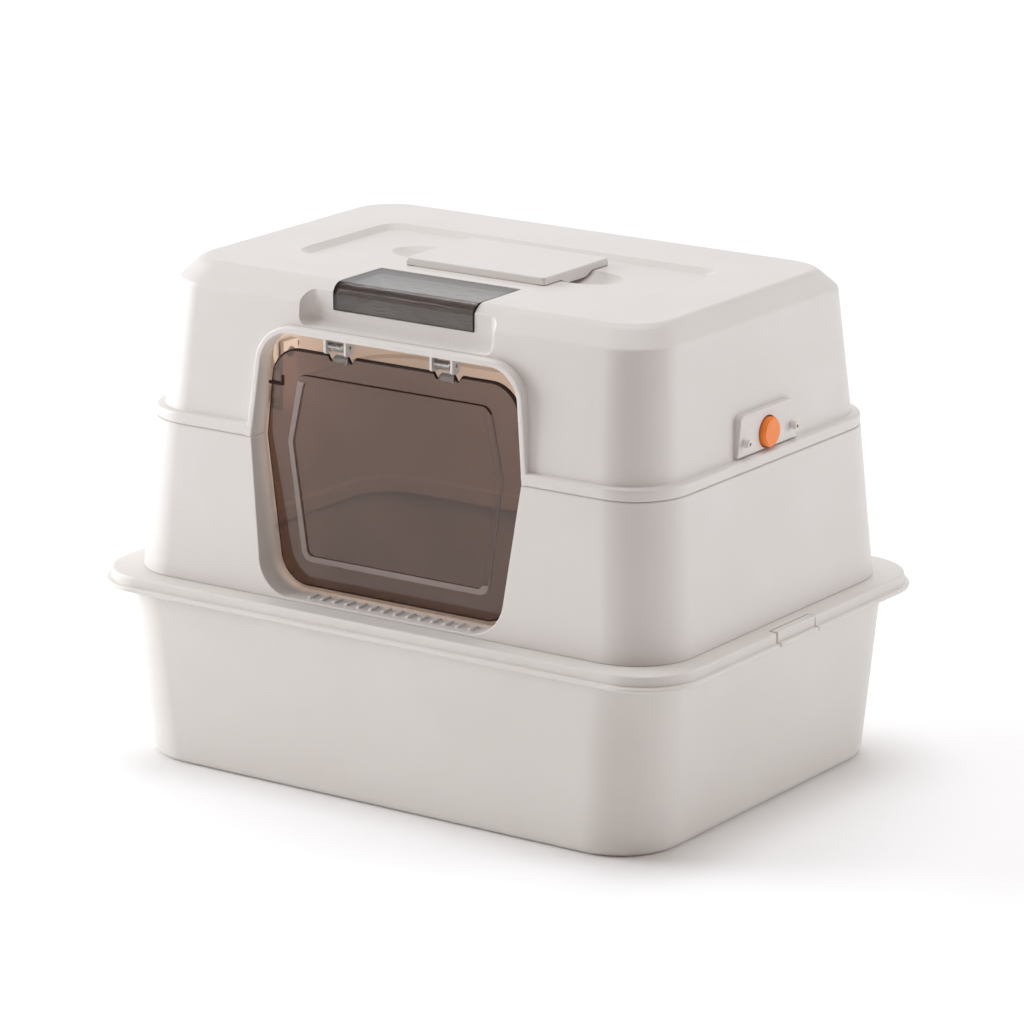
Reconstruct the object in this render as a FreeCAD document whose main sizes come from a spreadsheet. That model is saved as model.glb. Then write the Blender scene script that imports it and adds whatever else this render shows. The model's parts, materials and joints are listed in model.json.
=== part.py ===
import FreeCAD, Part
import math
import os
import sys
import Sketcher
from FreeCAD import Placement, Rotation, Vector

# Hooded cat litter box: a pan, a surround that sits on the pan's rim, and a hood with a swing
# flap, a vent with a filter, a pull-up handle and a push-button lock on each side.
# Millimetres. X is across the doorway, -Y is the front, +Z is up. The origin is the centre of
# the pan's underside.

SIZES = {
    "wall": 3.0,
    # pan
    "pan_base_half_x": 231.0,
    "pan_base_half_y": 169.5,
    "pan_top_half_x": 242.7,
    "pan_top_half_y": 177.5,
    "pan_corner": 50.0,
    "bead_level": 131.5,
    "bead_half_x": 260.0,
    "bead_half_y": 185.5,
    "bead_thick": 3.0,
    "rim_half_x": 256.5,
    "rim_half_y": 182.0,
    "rim_corner": 45.0,
    "rim_level": 142.8,
    "rim_web": 2.5,
    "mouth_half_x": 236.0,
    "mouth_half_y": 161.0,
    # surround
    "mid_level": 143.1,
    "mid_half_x": 240.0,
    "mid_half_y": 165.0,
    "seam_level": 258.8,
    "seam_half_x": 231.3,
    "seam_half_y": 156.2,
    "seam_corner": 45.0,
    "sill_level": 145.0,
    # hood
    "hood_level": 259.1,
    "step_level": 269.0,
    "hood_low_half_x": 224.0,
    "hood_low_half_y": 151.5,
    "shoulder_level": 362.5,
    "hood_high_half_x": 217.0,
    "hood_high_half_y": 140.0,
    "roof_level": 377.5,
    "roof_half_x": 204.5,
    "roof_half_y": 124.0,
    # doorway
    "door_sill_half": 103.0,
    "door_seam_half": 120.0,
    "door_head_half": 111.0,
    "door_head_level": 342.0,
    "door_ring": 7.0,
    "jamb_back": 138.0,
    "flap_gap": 4.5,
    # flap hinge
    "pin_setback": 146.0,
    "pin_level": 335.0,
    "pin_radius": 1.5,
    "knuckle_offset": 47.0,
    # vent
    "vent_half": 62.5,
    "vent_front": 129.0,
    "vent_back": 72.0,
    "vent_floor": 352.5,
    "cover_thick": 2.0,
    # handle
    "recess_level": 374.0,
    "grip_half_x": 62.0,
    "grip_half_y": 42.0,
    "grip_level": 374.4,
    "grip_thick": 5.6,
    "post_radius": 4.0,
    "post_length": 41.4,
    "post_x": 52.0,
    "post_y": 35.0,
    # side locks
    "lock_level": 281.0,
    "lock_face": 227.5,
    "button_radius": 11.0,
    "button_bore": 12.25,
    "button_face": 232.5,
    "peg_radius": 3.0,
}

doc = FreeCAD.newDocument("LitterBox")
sheet = doc.addObject("Spreadsheet::Sheet", "Sizes")
for row, (alias, value) in enumerate(SIZES.items(), start=1):
    sheet.set(f"A{row}", alias)
    sheet.set(f"B{row}", str(value))
    sheet.setAlias(f"B{row}", alias)
doc.recompute()

UPRIGHT = Rotation(Vector(1, 0, 0), 90)  # a sketch's own Y stands up along Z
SIDEWAYS = Rotation(Vector(0, 0, 1), 90).multiply(UPRIGHT)  # as UPRIGHT, facing +X
ALONG_X = Rotation(Vector(0, 1, 0), 90)  # a cylinder's axis lies along X


def size(alias):
    """A driving dimension, read back from the sheet."""
    return float(sheet.get(alias))


def bind(thing, name, value):
    """Set a property to a number, or bind it to the sheet with an expression given as text."""
    if isinstance(value, str):
        words = [f"Sizes.{word}" if word in SIZES else word for word in value.split()]
        thing.setExpression(name, " ".join(words))
    elif not name.startswith("Placement"):
        setattr(thing, name, value)


def place(thing, at, rotation=Rotation()):
    """Place a thing, with each coordinate a number or an expression."""
    numbers = [0.0 if isinstance(value, str) else value for value in at]
    thing.Placement = Placement(Vector(*numbers), rotation)
    for axis, value in zip("xyz", at):
        bind(thing, f"Placement.Base.{axis}", value)
    return thing


def box(length, width, height, at):
    """A box with its low corner at the given place."""
    thing = doc.addObject("Part::Box", "Block")
    bind(thing, "Length", length)
    bind(thing, "Width", width)
    bind(thing, "Height", height)
    return place(thing, at)


def block(low, high):
    """A box between two corners given as numbers."""
    return box(*[end - start for start, end in zip(low, high)], low)


def rod(radius, length, at, rotation=Rotation()):
    """A cylinder from a place along its axis."""
    thing = doc.addObject("Part::Cylinder", "Rod")
    bind(thing, "Radius", radius)
    bind(thing, "Height", length)
    return place(thing, at, rotation)


def fuse(*things):
    thing = doc.addObject("Part::MultiFuse", "Joined")
    thing.Shapes = list(things)
    return thing


def cut(base, *tools):
    thing = doc.addObject("Part::Cut", "Cut")
    thing.Base = base
    thing.Tool = tools[0] if len(tools) == 1 else fuse(*tools)
    return thing


def common(*things):
    thing = doc.addObject("Part::MultiCommon", "Shared")
    thing.Shapes = list(things)
    return thing


def mirror(source):
    """The same piece on the other side of the centre plane."""
    thing = doc.addObject("Part::Mirroring", "Mirrored")
    thing.Source = source
    thing.Base = Vector(0, 0, 0)
    thing.Normal = Vector(1, 0, 0)
    return thing


def group(things):
    """Separate solids kept in one node."""
    thing = doc.addObject("Part::Compound", "Group")
    thing.Links = list(things)
    return thing


def rounded_rectangle(half_x, half_y, corner, level):
    """A level rounded rectangle about the Z axis, fully constrained and bound to the sheet."""
    sketch = doc.addObject("Sketcher::SketchObject", "Section")
    place(sketch, (0, 0, level))
    x, y, r = 100.0, 80.0, 20.0
    lines = [
        ((r - x, y), (x - r, y)),
        ((x, y - r), (x, r - y)),
        ((x - r, -y), (r - x, -y)),
        ((-x, r - y), (-x, y - r)),
    ]
    for start, end in lines:
        sketch.addGeometry(Part.LineSegment(Vector(*start, 0), Vector(*end, 0)))
    centres = [(x - r, y - r, 0), (x - r, r - y, 270), (r - x, r - y, 180), (r - x, y - r, 90)]
    for cx, cy, turn in centres:
        circle = Part.Circle(Vector(cx, cy, 0), Vector(0, 0, 1), r)
        begin = math.radians(turn)
        sketch.addGeometry(Part.ArcOfCircle(circle, begin, begin + math.pi / 2))
    # corner arc 4 + i joins line i to the next one; its end point meets line i
    for i in range(4):
        sketch.addConstraint(Sketcher.Constraint("Tangent", 4 + i, 2, i, 2))
        sketch.addConstraint(Sketcher.Constraint("Tangent", 4 + i, 1, (i + 1) % 4, 1))
    sketch.addConstraint(Sketcher.Constraint("Symmetric", 0, 1, 0, 2, -2))
    sketch.addConstraint(Sketcher.Constraint("Symmetric", 1, 1, 1, 2, -1))
    sketch.addConstraint(Sketcher.Constraint("Horizontal", 2))
    sketch.addConstraint(Sketcher.Constraint("Vertical", 3))
    for i in (5, 6, 7):
        sketch.addConstraint(Sketcher.Constraint("Equal", 4, i))
    width = sketch.addConstraint(Sketcher.Constraint("DistanceX", 3, 1, 1, 1, 2 * x))
    depth = sketch.addConstraint(Sketcher.Constraint("DistanceY", 2, 1, 0, 1, 2 * y))
    radius = sketch.addConstraint(Sketcher.Constraint("Radius", 4, r))
    for index, value in ((width, f"( {half_x} ) * 2"), (depth, f"( {half_y} ) * 2"), (radius, corner)):
        bind(sketch, f"Constraints[{index}]", str(value))
    return sketch


def extrude(sketch, length, direction=Vector(0, 0, 1)):
    thing = doc.addObject("Part::Extrusion", "Prism")
    thing.Base = sketch
    thing.DirMode = "Custom"
    thing.Dir = direction
    bind(thing, "LengthFwd", length)
    thing.Solid = True
    return thing


def prism(half_x, half_y, corner, low, height):
    """An upright prism on a rounded rectangle."""
    return extrude(rounded_rectangle(half_x, half_y, corner, low), height)


def taper(*sections):
    """A straight-sided solid through level rounded rectangles."""
    thing = doc.addObject("Part::Loft", "Taper")
    thing.Sections = [rounded_rectangle(*section) for section in sections]
    thing.Solid = True
    thing.Ruled = True
    return thing


def outline(corners, at, rotation=UPRIGHT):
    """An upright closed outline; each corner is (across, up, radius)."""
    sketch = doc.addObject("Sketcher::SketchObject", "Outline")
    place(sketch, at, rotation)
    ends = []
    for i, (x, z, radius) in enumerate(corners):
        here = Vector(x, z, 0)
        before = (Vector(*corners[i - 1][:2], 0) - here).normalize()
        after = (Vector(*corners[(i + 1) % len(corners)][:2], 0) - here).normalize()
        half = before.getAngle(after) / 2
        if radius == 0:
            ends.append((here, here))
            continue
        reach = radius / math.tan(half)
        to_centre = (before + after).normalize()
        centre = here + to_centre * (radius / math.sin(half))
        middle = centre - to_centre * radius
        sketch.addGeometry(Part.Arc(here + before * reach, middle, here + after * reach))
        ends.append((here + before * reach, here + after * reach))
    for i in range(len(corners)):
        start, end = ends[i][1], ends[(i + 1) % len(corners)][0]
        if (end - start).Length > 1e-6:
            sketch.addGeometry(Part.LineSegment(start, end))
    return sketch


def bar_outline(shape, front, length):
    """An upright outline extruded from y = -front towards the back."""
    return extrude(outline(shape, (0, -front, 0)), length, Vector(0, 1, 0))


DOOR_FOOT_CORNER = 28.0
DOOR_HEAD_CORNER = 25.0


def door_half(level):
    """Half the doorway's width at a level; it is widest at the seam."""
    seam, widest = size("hood_level"), size("door_seam_half")
    end, narrow = size("sill_level"), size("door_sill_half")
    if level > seam:
        end, narrow = size("door_head_level"), size("door_head_half")
    return widest + (narrow - widest) * (level - seam) / (end - seam)


def six_sided(foot, seam, head, margin, foot_corner, head_corner):
    """The outline shared by the doorway and the flap, a margin outside the doorway's sides."""
    levels = ((foot, foot_corner), (seam, 0), (head, head_corner))
    right = [(door_half(level) + margin, level, corner) for level, corner in levels]
    return right + [(-across, level, corner) for across, level, corner in reversed(right)]


def doorway(grow):
    """The doorway's outline, grown outwards by a margin."""
    foot, head = size("sill_level") - grow, size("door_head_level") + grow
    return six_sided(foot, size("hood_level"), head, grow, DOOR_FOOT_CORNER + grow, DOOR_HEAD_CORNER + grow)


# ---- pan -------------------------------------------------------------------------------------

CLIP_FRONT, CLIP_BACK = -29.0, 22.0  # the rim clip's ends along Y
CLIP_GAP = 3.0  # the open notch in front of the clip


def litter_pan():
    """A tapered tub with a hollow rolled rim, a bead and a ledge that carries the surround."""
    web_low = "rim_level - rim_web"
    tub = taper(
        ("pan_base_half_x", "pan_base_half_y", "pan_corner", 0),
        ("pan_top_half_x", "pan_top_half_y", "pan_corner", web_low),
    )
    rim = prism("rim_half_x", "rim_half_y", "rim_corner", "bead_level", "rim_level - bead_level")
    bead = prism("bead_half_x", "bead_half_y", "rim_corner + 2", "bead_level", "bead_thick")
    channel = prism(
        "rim_half_x - wall", "rim_half_y - wall", "rim_corner - wall",
        "bead_level - 1", "rim_level - rim_web - bead_level + 1",
    )
    hollow = taper(
        ("pan_base_half_x - wall", "pan_base_half_y - wall", "pan_corner - wall", "wall"),
        ("pan_top_half_x - wall", "pan_top_half_y - wall", "pan_corner - wall", web_low),
    )
    mouth = prism("mouth_half_x", "mouth_half_y", 42, "rim_level - 5", 10)
    pocket = block((250, CLIP_FRONT - CLIP_GAP, 130), (262, CLIP_BACK + 0.3, 145))
    rim_shell = cut(fuse(rim, bead), channel)
    return cut(fuse(tub, rim_shell), hollow, mouth, pocket, mirror(pocket))


def rim_clip():
    """A snap clip that closes the gap in the rim and hooks under its web."""
    length = CLIP_BACK - CLIP_FRONT
    face = box("wall", length, 12, ("bead_half_x - wall", CLIP_FRONT, "bead_level"))
    tongue = box(12, length, 2.5, (246, CLIP_FRONT, "rim_level - rim_web - 2.5"))
    return fuse(face, tongue)


# ---- surround --------------------------------------------------------------------------------

SKIRT_HALF = (235.5, 160.5)  # the skirt that drops into the pan's mouth
LIP_HALF = (227.8, 152.7)  # the lip that stands up inside the hood
RIB_COUNT = 14
RIB_PITCH = 11.0


def mid_hollow():
    return taper(
        ("mid_half_x - wall", "mid_half_y - wall", 44, "sill_level"),
        ("seam_half_x - wall", "seam_half_y - wall", "seam_corner - wall", "seam_level + 0.01"),
    )


def mid_surround():
    """A tapered wall with a locating skirt, an upper lip, and the lower doorway with its sill."""
    outer = taper(
        ("mid_half_x", "mid_half_y", 47, "mid_level"),
        ("seam_half_x", "seam_half_y", "seam_corner", "seam_level"),
    )
    skirt = prism(SKIRT_HALF[0], SKIRT_HALF[1], 41.5, 134, 10)
    throat = prism(SKIRT_HALF[0] - 3, SKIRT_HALF[1] - 3, 38.5, 130, 20)
    lip_foot = prism(LIP_HALF[0] + 2, LIP_HALF[1] + 2, 44, 249, 6)
    lip = prism(LIP_HALF[0], LIP_HALF[1], 42, 249, 16.3)
    lip_hollow = prism(LIP_HALF[0] - 2.5, LIP_HALF[1] - 2.5, 39.5, 240, 40)
    lip_gap = block((-127.3, -170, 240), (127.3, -140, 280))
    walls = fuse(cut(outer, mid_hollow(), throat), cut(skirt, throat))
    with_lip = fuse(walls, cut(fuse(lip_foot, lip), lip_hollow, lip_gap))
    frame = common(bar_outline(doorway(3), 170, "170 - jamb_back"), outer)
    opening = bar_outline(doorway(0), 180, 60)
    first = -(RIB_COUNT - 1) / 2 * RIB_PITCH - 1.5
    ribs = [
        box(3, 12, 1.5, (first + i * RIB_PITCH, -163, "sill_level - 0.5")) for i in range(RIB_COUNT)
    ]
    return fuse(cut(fuse(with_lip, frame), opening), *ribs)


def latch_keeper():
    """The ledge inside the surround that the lock's nose sits under."""
    return common(block((221.5, -14, 241), (240, 14, 248.9)), mid_hollow())


# ---- hood ------------------------------------------------------------------------------------

RECESS_HALF = 86.0  # the hollow in the hood's face above the doorway
RECESS_FACE = 131.0
TOP_RECESS = (143.0, 59.5)
TOP_RECESS_SHIFT = -2.5
SCOOP_END = 71.0  # centre of the round end of each finger scoop
SCOOP_HALF = 29.0
SCOOP_DEPTH = 10.0
PEG_SPOTS = (-32.0, 32.0)
PEG_LEVEL = 279.0


def hood_outer():
    band = prism("seam_half_x", "seam_half_y", "seam_corner", "hood_level", "step_level - hood_level")
    dome = taper(
        ("hood_low_half_x", "hood_low_half_y", 41, "hood_level"),
        ("hood_high_half_x", "hood_high_half_y", 38, "shoulder_level"),
        ("roof_half_x", "roof_half_y", 32, "roof_level"),
    )
    return fuse(band, dome)


def hood_hollow():
    band = prism(
        "seam_half_x - wall", "seam_half_y - wall", "seam_corner - wall",
        "hood_level - 1", "step_level - hood_level - wall + 1",
    )
    dome = taper(
        ("hood_low_half_x - wall", "hood_low_half_y - wall", 38, "hood_level - 1"),
        ("hood_high_half_x - wall", "hood_high_half_y - wall", 35, "shoulder_level - 2"),
        ("roof_half_x - 2", "roof_half_y - 2", 30, "roof_level - wall"),
    )
    return fuse(band, dome)


def scoop(grow):
    """A finger scoop under one end of the handle, or the wall round it."""
    low = size("recess_level") - SCOOP_DEPTH - grow
    height = 40 - grow
    start = SCOOP_END - 25 - grow
    straight = block((start, -SCOOP_HALF - grow, low), (SCOOP_END, SCOOP_HALF + grow, low + height))
    return fuse(straight, rod(SCOOP_HALF + grow, height, (SCOOP_END, 0, low)))


def four_posts(radius, length, low):
    """Four upright rods at the handle's corners."""
    signs = [(x, y) for x in ("", "-1 * ") for y in ("", "-1 * ")]
    return [rod(radius, length, (x + "post_x", y + "post_y", low)) for x, y in signs]


def hood_shell():
    """The hood, with its door ring, face hollow, vent box, roof recess, scoops and bores."""
    scoops = [scoop(0), mirror(scoop(0))]
    inner_walls = [
        block((-RECESS_HALF - 3, -145, 345), (RECESS_HALF + 3, -RECESS_FACE + 3, 380)),
        block((-65.5, -RECESS_FACE, 349.7), (65.5, -69, 380)),
        block((-146, -65, 371), (146, 60, 380)),
        scoop(3),
        mirror(scoop(3)),
        rod(4.5, 30, (69, -100, 349.7)),
        rod(4.5, 30, (-69, -100, 349.7)),
        *four_posts("post_radius + 3", 30, 358),
    ]
    shell = cut(hood_outer(), cut(hood_hollow(), *inner_walls))
    below_seam = block((-200, -200, 100), (200, -100, size("hood_level")))
    ring = cut(
        bar_outline(doorway(size("door_ring")), size("seam_half_y"), "seam_half_y - jamb_back"),
        below_seam,
    )
    vent_low = ("-1 * vent_half", "-1 * vent_front", "vent_floor")
    vent_room = box("vent_half * 2", "vent_front - vent_back", 40, vent_low)
    recess_floor = rounded_rectangle(TOP_RECESS[0], TOP_RECESS[1], 8, "recess_level")
    place(recess_floor, (0, TOP_RECESS_SHIFT, "recess_level"))
    cuts = [
        bar_outline(doorway(0), 180, 60),
        block((-RECESS_HALF, -170, 349), (RECESS_HALF, -RECESS_FACE, 390)),
        vent_room,
        box("vent_half * 2", 20, 40, ("-1 * vent_half", "-1 * vent_front - 19", 357)),
        block((-56, -122, 340), (56, -79, 356)),
        rod(1.55, 132, (-66, -77, 374.5), ALONG_X),
        rod(1.4, 9, (69, -100, 349)),
        rod(1.4, 9, (-69, -100, 349)),
        extrude(recess_floor, 10),
        *scoops,
        *four_posts("post_radius + 0.25", 40, 350),
        rod("button_bore", 500, (-250, 0, "lock_level"), ALONG_X),
    ]
    return cut(fuse(shell, ring), *cuts)


def vent_grille():
    """The slotted floor of the vent box; the slots are staggered row by row."""
    plate = block((-62.2, -128.7, 352.5), (62.2, -72.3, 355))
    slots = []
    for row in range(5):
        count = 6 if row % 2 == 0 else 5
        for i in range(count):
            x = (i - (count - 1) / 2) * 19
            slots.append(block((x - 6, -117.5 + row * 8.5, 350), (x + 6, -114.5 + row * 8.5, 357)))
    return cut(plate, *slots)


def filter_frame():
    """The open tray under the roof that holds the filter pad, with a screw tab on each side."""
    tray = block((-64, -127, 339), (64, -73, 349.7))
    room = block((-61.5, -124.5, 341.5), (61.5, -75.5, 350))
    windows = [block((x - 11, -120, 338), (x + 11, -80, 342)) for x in (-42, -14, 14, 42)]
    tab = block((64, -105, 347.2), (74, -95, 349.7))
    tabs = cut(fuse(tab, mirror(tab)), rod(1.7, 9, (69, -100, 345)), rod(1.7, 9, (-69, -100, 345)))
    return fuse(cut(tray, room, *windows), tabs)


def filter_frame_screws():
    screw = [fuse(rod(3.2, 1.8, (x, -100, 345.4)), rod(1.4, 10, (x, -100, 347.2))) for x in (-69, 69)]
    return group(screw)


def filter_pad():
    return block((-61.2, -124.2, 341.5), (61.2, -75.8, 349.7))


def hinge_bracket():
    """Two ears under the doorway's head that carry the flap's pin."""
    ears = [
        box(2, 10.5, "door_head_level - 331", (f"knuckle_offset {shift}", -152, 331))
        for shift in ("- 10", "+ 8")
    ]
    base = box(20, 10.5, 1.8, ("knuckle_offset - 10", -152, "door_head_level - 1.8"))
    pin_hole = rod("pin_radius", 40, ("knuckle_offset - 20", "-1 * pin_setback", "pin_level"), ALONG_X)
    return cut(fuse(*ears, base), pin_hole)


def hinge_pin():
    at = ("knuckle_offset - 10.5", "-1 * pin_setback", "pin_level")
    return rod("pin_radius", 21, at, ALONG_X)


def lock_plate():
    """The raised boss round the button, seated on the hood's sloping wall."""
    face = [(-40, 269, 0), (40, 269, 0), (36, 299, 5), (-36, 299, 5)]
    slab = extrude(outline(face, ("lock_face - 20", 0, 0), SIDEWAYS), 20, Vector(1, 0, 0))
    holes = [rod("peg_radius", 20, (215, y, PEG_LEVEL), ALONG_X) for y in PEG_SPOTS]
    bore = rod("button_bore", 40, (200, 0, "lock_level"), ALONG_X)
    return cut(slab, hood_outer(), bore, *holes)


def side_pegs():
    """Two hollow pegs, one each side of the button."""
    pegs = []
    for y in PEG_SPOTS:
        shank = rod("peg_radius", 8.5, ("lock_face - 3", y, PEG_LEVEL), ALONG_X)
        pegs.append(cut(shank, rod(1.4, 8, ("lock_face - 1.5", y, PEG_LEVEL), ALONG_X)))
    return group(pegs)


HOUSING_BACK = 206.0


def lock_housing():
    """The cup behind the hood's wall that guides the button, with two screw ears."""
    cup = rod(15.5, 30, (HOUSING_BACK, 0, "lock_level"), ALONG_X)
    ears = block((HOUSING_BACK + 9, -30, 274), (HOUSING_BACK + 30, 30, 288))
    room = rod(13, 40, (HOUSING_BACK + 2, 0, "lock_level"), ALONG_X)
    stem_hole = rod(3.05, 10, (HOUSING_BACK - 4, 0, "lock_level"), ALONG_X)
    holes = [rod(1.5, 40, (200, y, 281), ALONG_X) for y in (-24, 24)]
    return cut(common(fuse(cup, ears), hood_hollow()), room, stem_hole, *holes)


def lock_housing_screws():
    """Pan-head screws through the housings' ears into the hood's wall."""
    screws = []
    for y in (-24, 24):
        head = rod(3, 1.8, (HOUSING_BACK + 7.2, y, 281), ALONG_X)
        screw = fuse(head, rod(1.5, 6, (HOUSING_BACK + 9, y, 281), ALONG_X))
        screws += [screw, mirror(screw)]
    return group(screws)


def lock_button():
    """The push button with its retaining collar and stem."""
    cap = rod("button_radius", "button_face - 214", (214, 0, "lock_level"), ALONG_X)
    collar = rod(12.6, 2.5, (214, 0, "lock_level"), ALONG_X)
    stem = rod(3, 13, (201, 0, "lock_level"), ALONG_X)
    pilot = rod(1.2, 8, (201, 0, "lock_level"), ALONG_X)
    return cut(fuse(cap, collar, stem), pilot)


def latch_arm():
    """The arm on the button's stem; its nose reaches to the keeper below the seam."""
    arm = block((201, -9, 236), (204, 9, 290))
    nose = block((204, -9, 236.5), (221.2, 9, 240.7))
    seat = rod(3, 10, (200, 0, "lock_level"), ALONG_X)
    return cut(fuse(arm, nose), seat)


def latch_screw():
    head = rod(3.8, 1.6, (199.4, 0, "lock_level"), ALONG_X)
    return fuse(head, rod(1.2, 7, (201, 0, "lock_level"), ALONG_X))


def lock_spring():
    """The coil between the housing's back and the button's collar."""
    helix = doc.addObject("Part::Helix", "SpringPath")
    helix.Radius, helix.Pitch, helix.Height = 7.0, 1.5, 4.8
    helix.SegmentLength = 1  # one edge for each turn
    doc.recompute()
    wire = doc.addObject("Part::Circle", "SpringWire")
    wire.Radius = 0.5
    wire.Placement = Placement(Vector(7, 0, 0), Rotation(Vector(1, 0, 0), 90))
    coil = doc.addObject("Part::Sweep", "Coil")
    coil.Sections = [wire]
    coil.Spine = (helix, [f"Edge{i + 1}" for i in range(len(helix.Shape.Edges))])
    coil.Solid = True
    coil.Frenet = True
    return place(coil, (HOUSING_BACK + 2.6, 0, "lock_level"), ALONG_X)


# ---- flap ------------------------------------------------------------------------------------

FLAP_FRONT = 143.0
FLAP_THICK = 3.0
FLAP_LEVELS = (148.5, 257.0, 326.0)  # foot, widest, head
RING_INSET = 13.5  # from the flap's edge to the raised ring's outer edge
RING_WIDTH = 5.0


def flap_shape(inset, corner):
    """The flap's outline, or one inside it."""
    foot, widest, head = FLAP_LEVELS
    drop = inset * 1.6
    margin = -size("flap_gap") - inset
    return six_sided(foot + drop * 0.85, widest, head - drop, margin, corner, corner)


def door_flap():
    """The swing panel with its raised ring, and two knuckles that turn on the pins."""
    panel = bar_outline(flap_shape(0, 25), FLAP_FRONT, FLAP_THICK)
    ring_inner = flap_shape(RING_INSET + RING_WIDTH, 7)
    ring = cut(
        bar_outline(flap_shape(RING_INSET, 11), FLAP_FRONT + 1.5, 2.5),
        bar_outline(ring_inner, FLAP_FRONT + 2, 5),
    )
    knuckles, bores = [], []
    for side in ("knuckle_offset", "-1 * knuckle_offset"):
        at = (f"{side} - 7", "-1 * pin_setback", "pin_level")
        knuckles.append(rod(4.2, 14, at, ALONG_X))
        knuckles.append(box(14, 3.6, 12, (f"{side} - 7", -144.6, 321)))
        bores.append(rod("pin_radius + 0.06", 30, (f"{side} - 15", *at[1:]), ALONG_X))
    return cut(fuse(panel, ring, *knuckles), *bores)


def flap_tab():
    """The small hooked stop on the flap's left edge."""
    return fuse(
        block((-112, -FLAP_FRONT - 1.4, 298), (-99, -FLAP_FRONT, 300.5)),
        block((-100.5, -FLAP_FRONT - 1.4, 298), (-99, -FLAP_FRONT, 306)),
    )


# ---- vent cover ------------------------------------------------------------------------------


def vent_cover():
    """A bent clear lid on two small pivots at its back edge."""
    width = "vent_half * 2 - 1"
    side = "-1 * vent_half + 0.5"
    top = box(width, 58.4, "cover_thick", (side, -132, "roof_level - cover_thick"))
    leg = box(width, "cover_thick", 20, (side, -132, "roof_level - 20"))
    lug = block((59, -79.5, 372.5), (62, -74.5, 376))
    pivot = rod(1.5, 5.5, (60, -77, 374.5), ALONG_X)
    return fuse(top, leg, lug, mirror(lug), pivot, mirror(pivot))


# ---- handle ----------------------------------------------------------------------------------


def handle_plate():
    return prism("grip_half_x", "grip_half_y", 3, "grip_level", "grip_thick")


def handle_posts():
    """Four posts that slide in the hood's sleeves, each drilled for its stop screw."""
    low = "grip_level - post_length"
    posts = four_posts("post_radius", "post_length", low)
    pilots = four_posts(1.4, 8, low)
    return group([cut(post, pilot) for post, pilot in zip(posts, pilots)])


def handle_stops():
    """The washers that stop the posts under the sleeves."""
    low = "grip_level - post_length - 1.5"
    return group([
        cut(disc, hole)
        for disc, hole in zip(four_posts(7, 1.5, low), four_posts(1.4, 3, low))
    ])


def handle_screws():
    low = "grip_level - post_length - 3.3"
    heads = four_posts(3, 1.8, low)
    shanks = four_posts(1.4, 9, "grip_level - post_length - 1.5")
    return group([fuse(head, shank) for head, shank in zip(heads, shanks)])


# ---- assembly --------------------------------------------------------------------------------

single = {
    "litter_pan": litter_pan,
    "mid_surround": mid_surround,
    "hood_shell": hood_shell,
    "vent_grille": vent_grille,
    "filter_frame": filter_frame,
    "filter_frame_screws": filter_frame_screws,
    "filter_pad": filter_pad,
    "lock_housing_screws": lock_housing_screws,
    "door_flap": door_flap,
    "flap_tab": flap_tab,
    "vent_cover": vent_cover,
    "handle_plate": handle_plate,
    "handle_posts": handle_posts,
    "handle_stops": handle_stops,
    "handle_screws": handle_screws,
}
paired = {
    "rim_clip": rim_clip,
    "latch_keeper": latch_keeper,
    "hinge_bracket": hinge_bracket,
    "hinge_pin": hinge_pin,
    "lock_plate": lock_plate,
    "side_pegs": side_pegs,
    "lock_housing": lock_housing,
    "lock_button": lock_button,
    "latch_arm": latch_arm,
    "latch_screw": latch_screw,
    "lock_spring": lock_spring,
}
nodes = {name: make() for name, make in single.items()}
for name, make in paired.items():
    nodes[f"{name}_right"] = make()
    nodes[f"{name}_left"] = mirror(nodes[f"{name}_right"])
for name, thing in nodes.items():
    thing.Label = name
doc.recompute()

faults = [f"{thing.Label}: {thing.State}" for thing in doc.Objects if {"Invalid", "Error"} & set(thing.State)]
for name, thing in nodes.items():
    if thing.Shape.isNull() or not thing.Shape.isValid() or not thing.Shape.Solids:
        faults.append(f"{name}: no valid solid")
if faults:
    sys.exit("\n".join(faults))

os.makedirs("parts", exist_ok=True)
for name, thing in nodes.items():
    thing.Shape.exportStep(f"parts/{name}.step")
    print(f"{name:22s} {len(thing.Shape.Solids)} solid(s) {thing.Shape.Volume / 1000:9.2f} cm3")
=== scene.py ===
"""A hooded cat litter box: pan, surround, hood, swing flap, vent, pull-up handle and side locks."""
import json
import logging
import math
from contextlib import contextmanager
from dataclasses import dataclass, field
from enum import Enum
from typing import Any, Callable, Iterator, Sequence

import bmesh
import bpy
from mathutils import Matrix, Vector


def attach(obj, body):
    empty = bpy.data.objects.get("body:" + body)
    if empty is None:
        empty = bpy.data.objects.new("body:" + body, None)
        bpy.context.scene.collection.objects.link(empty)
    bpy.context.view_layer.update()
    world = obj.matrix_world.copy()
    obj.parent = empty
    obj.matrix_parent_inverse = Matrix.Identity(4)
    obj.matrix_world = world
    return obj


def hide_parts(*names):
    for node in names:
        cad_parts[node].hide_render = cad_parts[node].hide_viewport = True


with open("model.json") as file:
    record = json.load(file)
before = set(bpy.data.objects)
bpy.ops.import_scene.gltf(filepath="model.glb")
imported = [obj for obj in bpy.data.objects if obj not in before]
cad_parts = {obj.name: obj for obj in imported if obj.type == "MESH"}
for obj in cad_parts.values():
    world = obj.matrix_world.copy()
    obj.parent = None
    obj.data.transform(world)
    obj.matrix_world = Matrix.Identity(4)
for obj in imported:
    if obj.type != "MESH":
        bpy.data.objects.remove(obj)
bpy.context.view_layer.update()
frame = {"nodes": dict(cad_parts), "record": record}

MM = 0.001
log = logging.getLogger("litter_box")

Corner = tuple[float, float, float]
Ring = tuple[float, float, float, float, float]
Piece = bpy.types.Object
Material = bpy.types.Material
Tree = bpy.types.NodeTree
Socket = bpy.types.NodeSocket
Test = Callable[[Any], bool]

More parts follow.
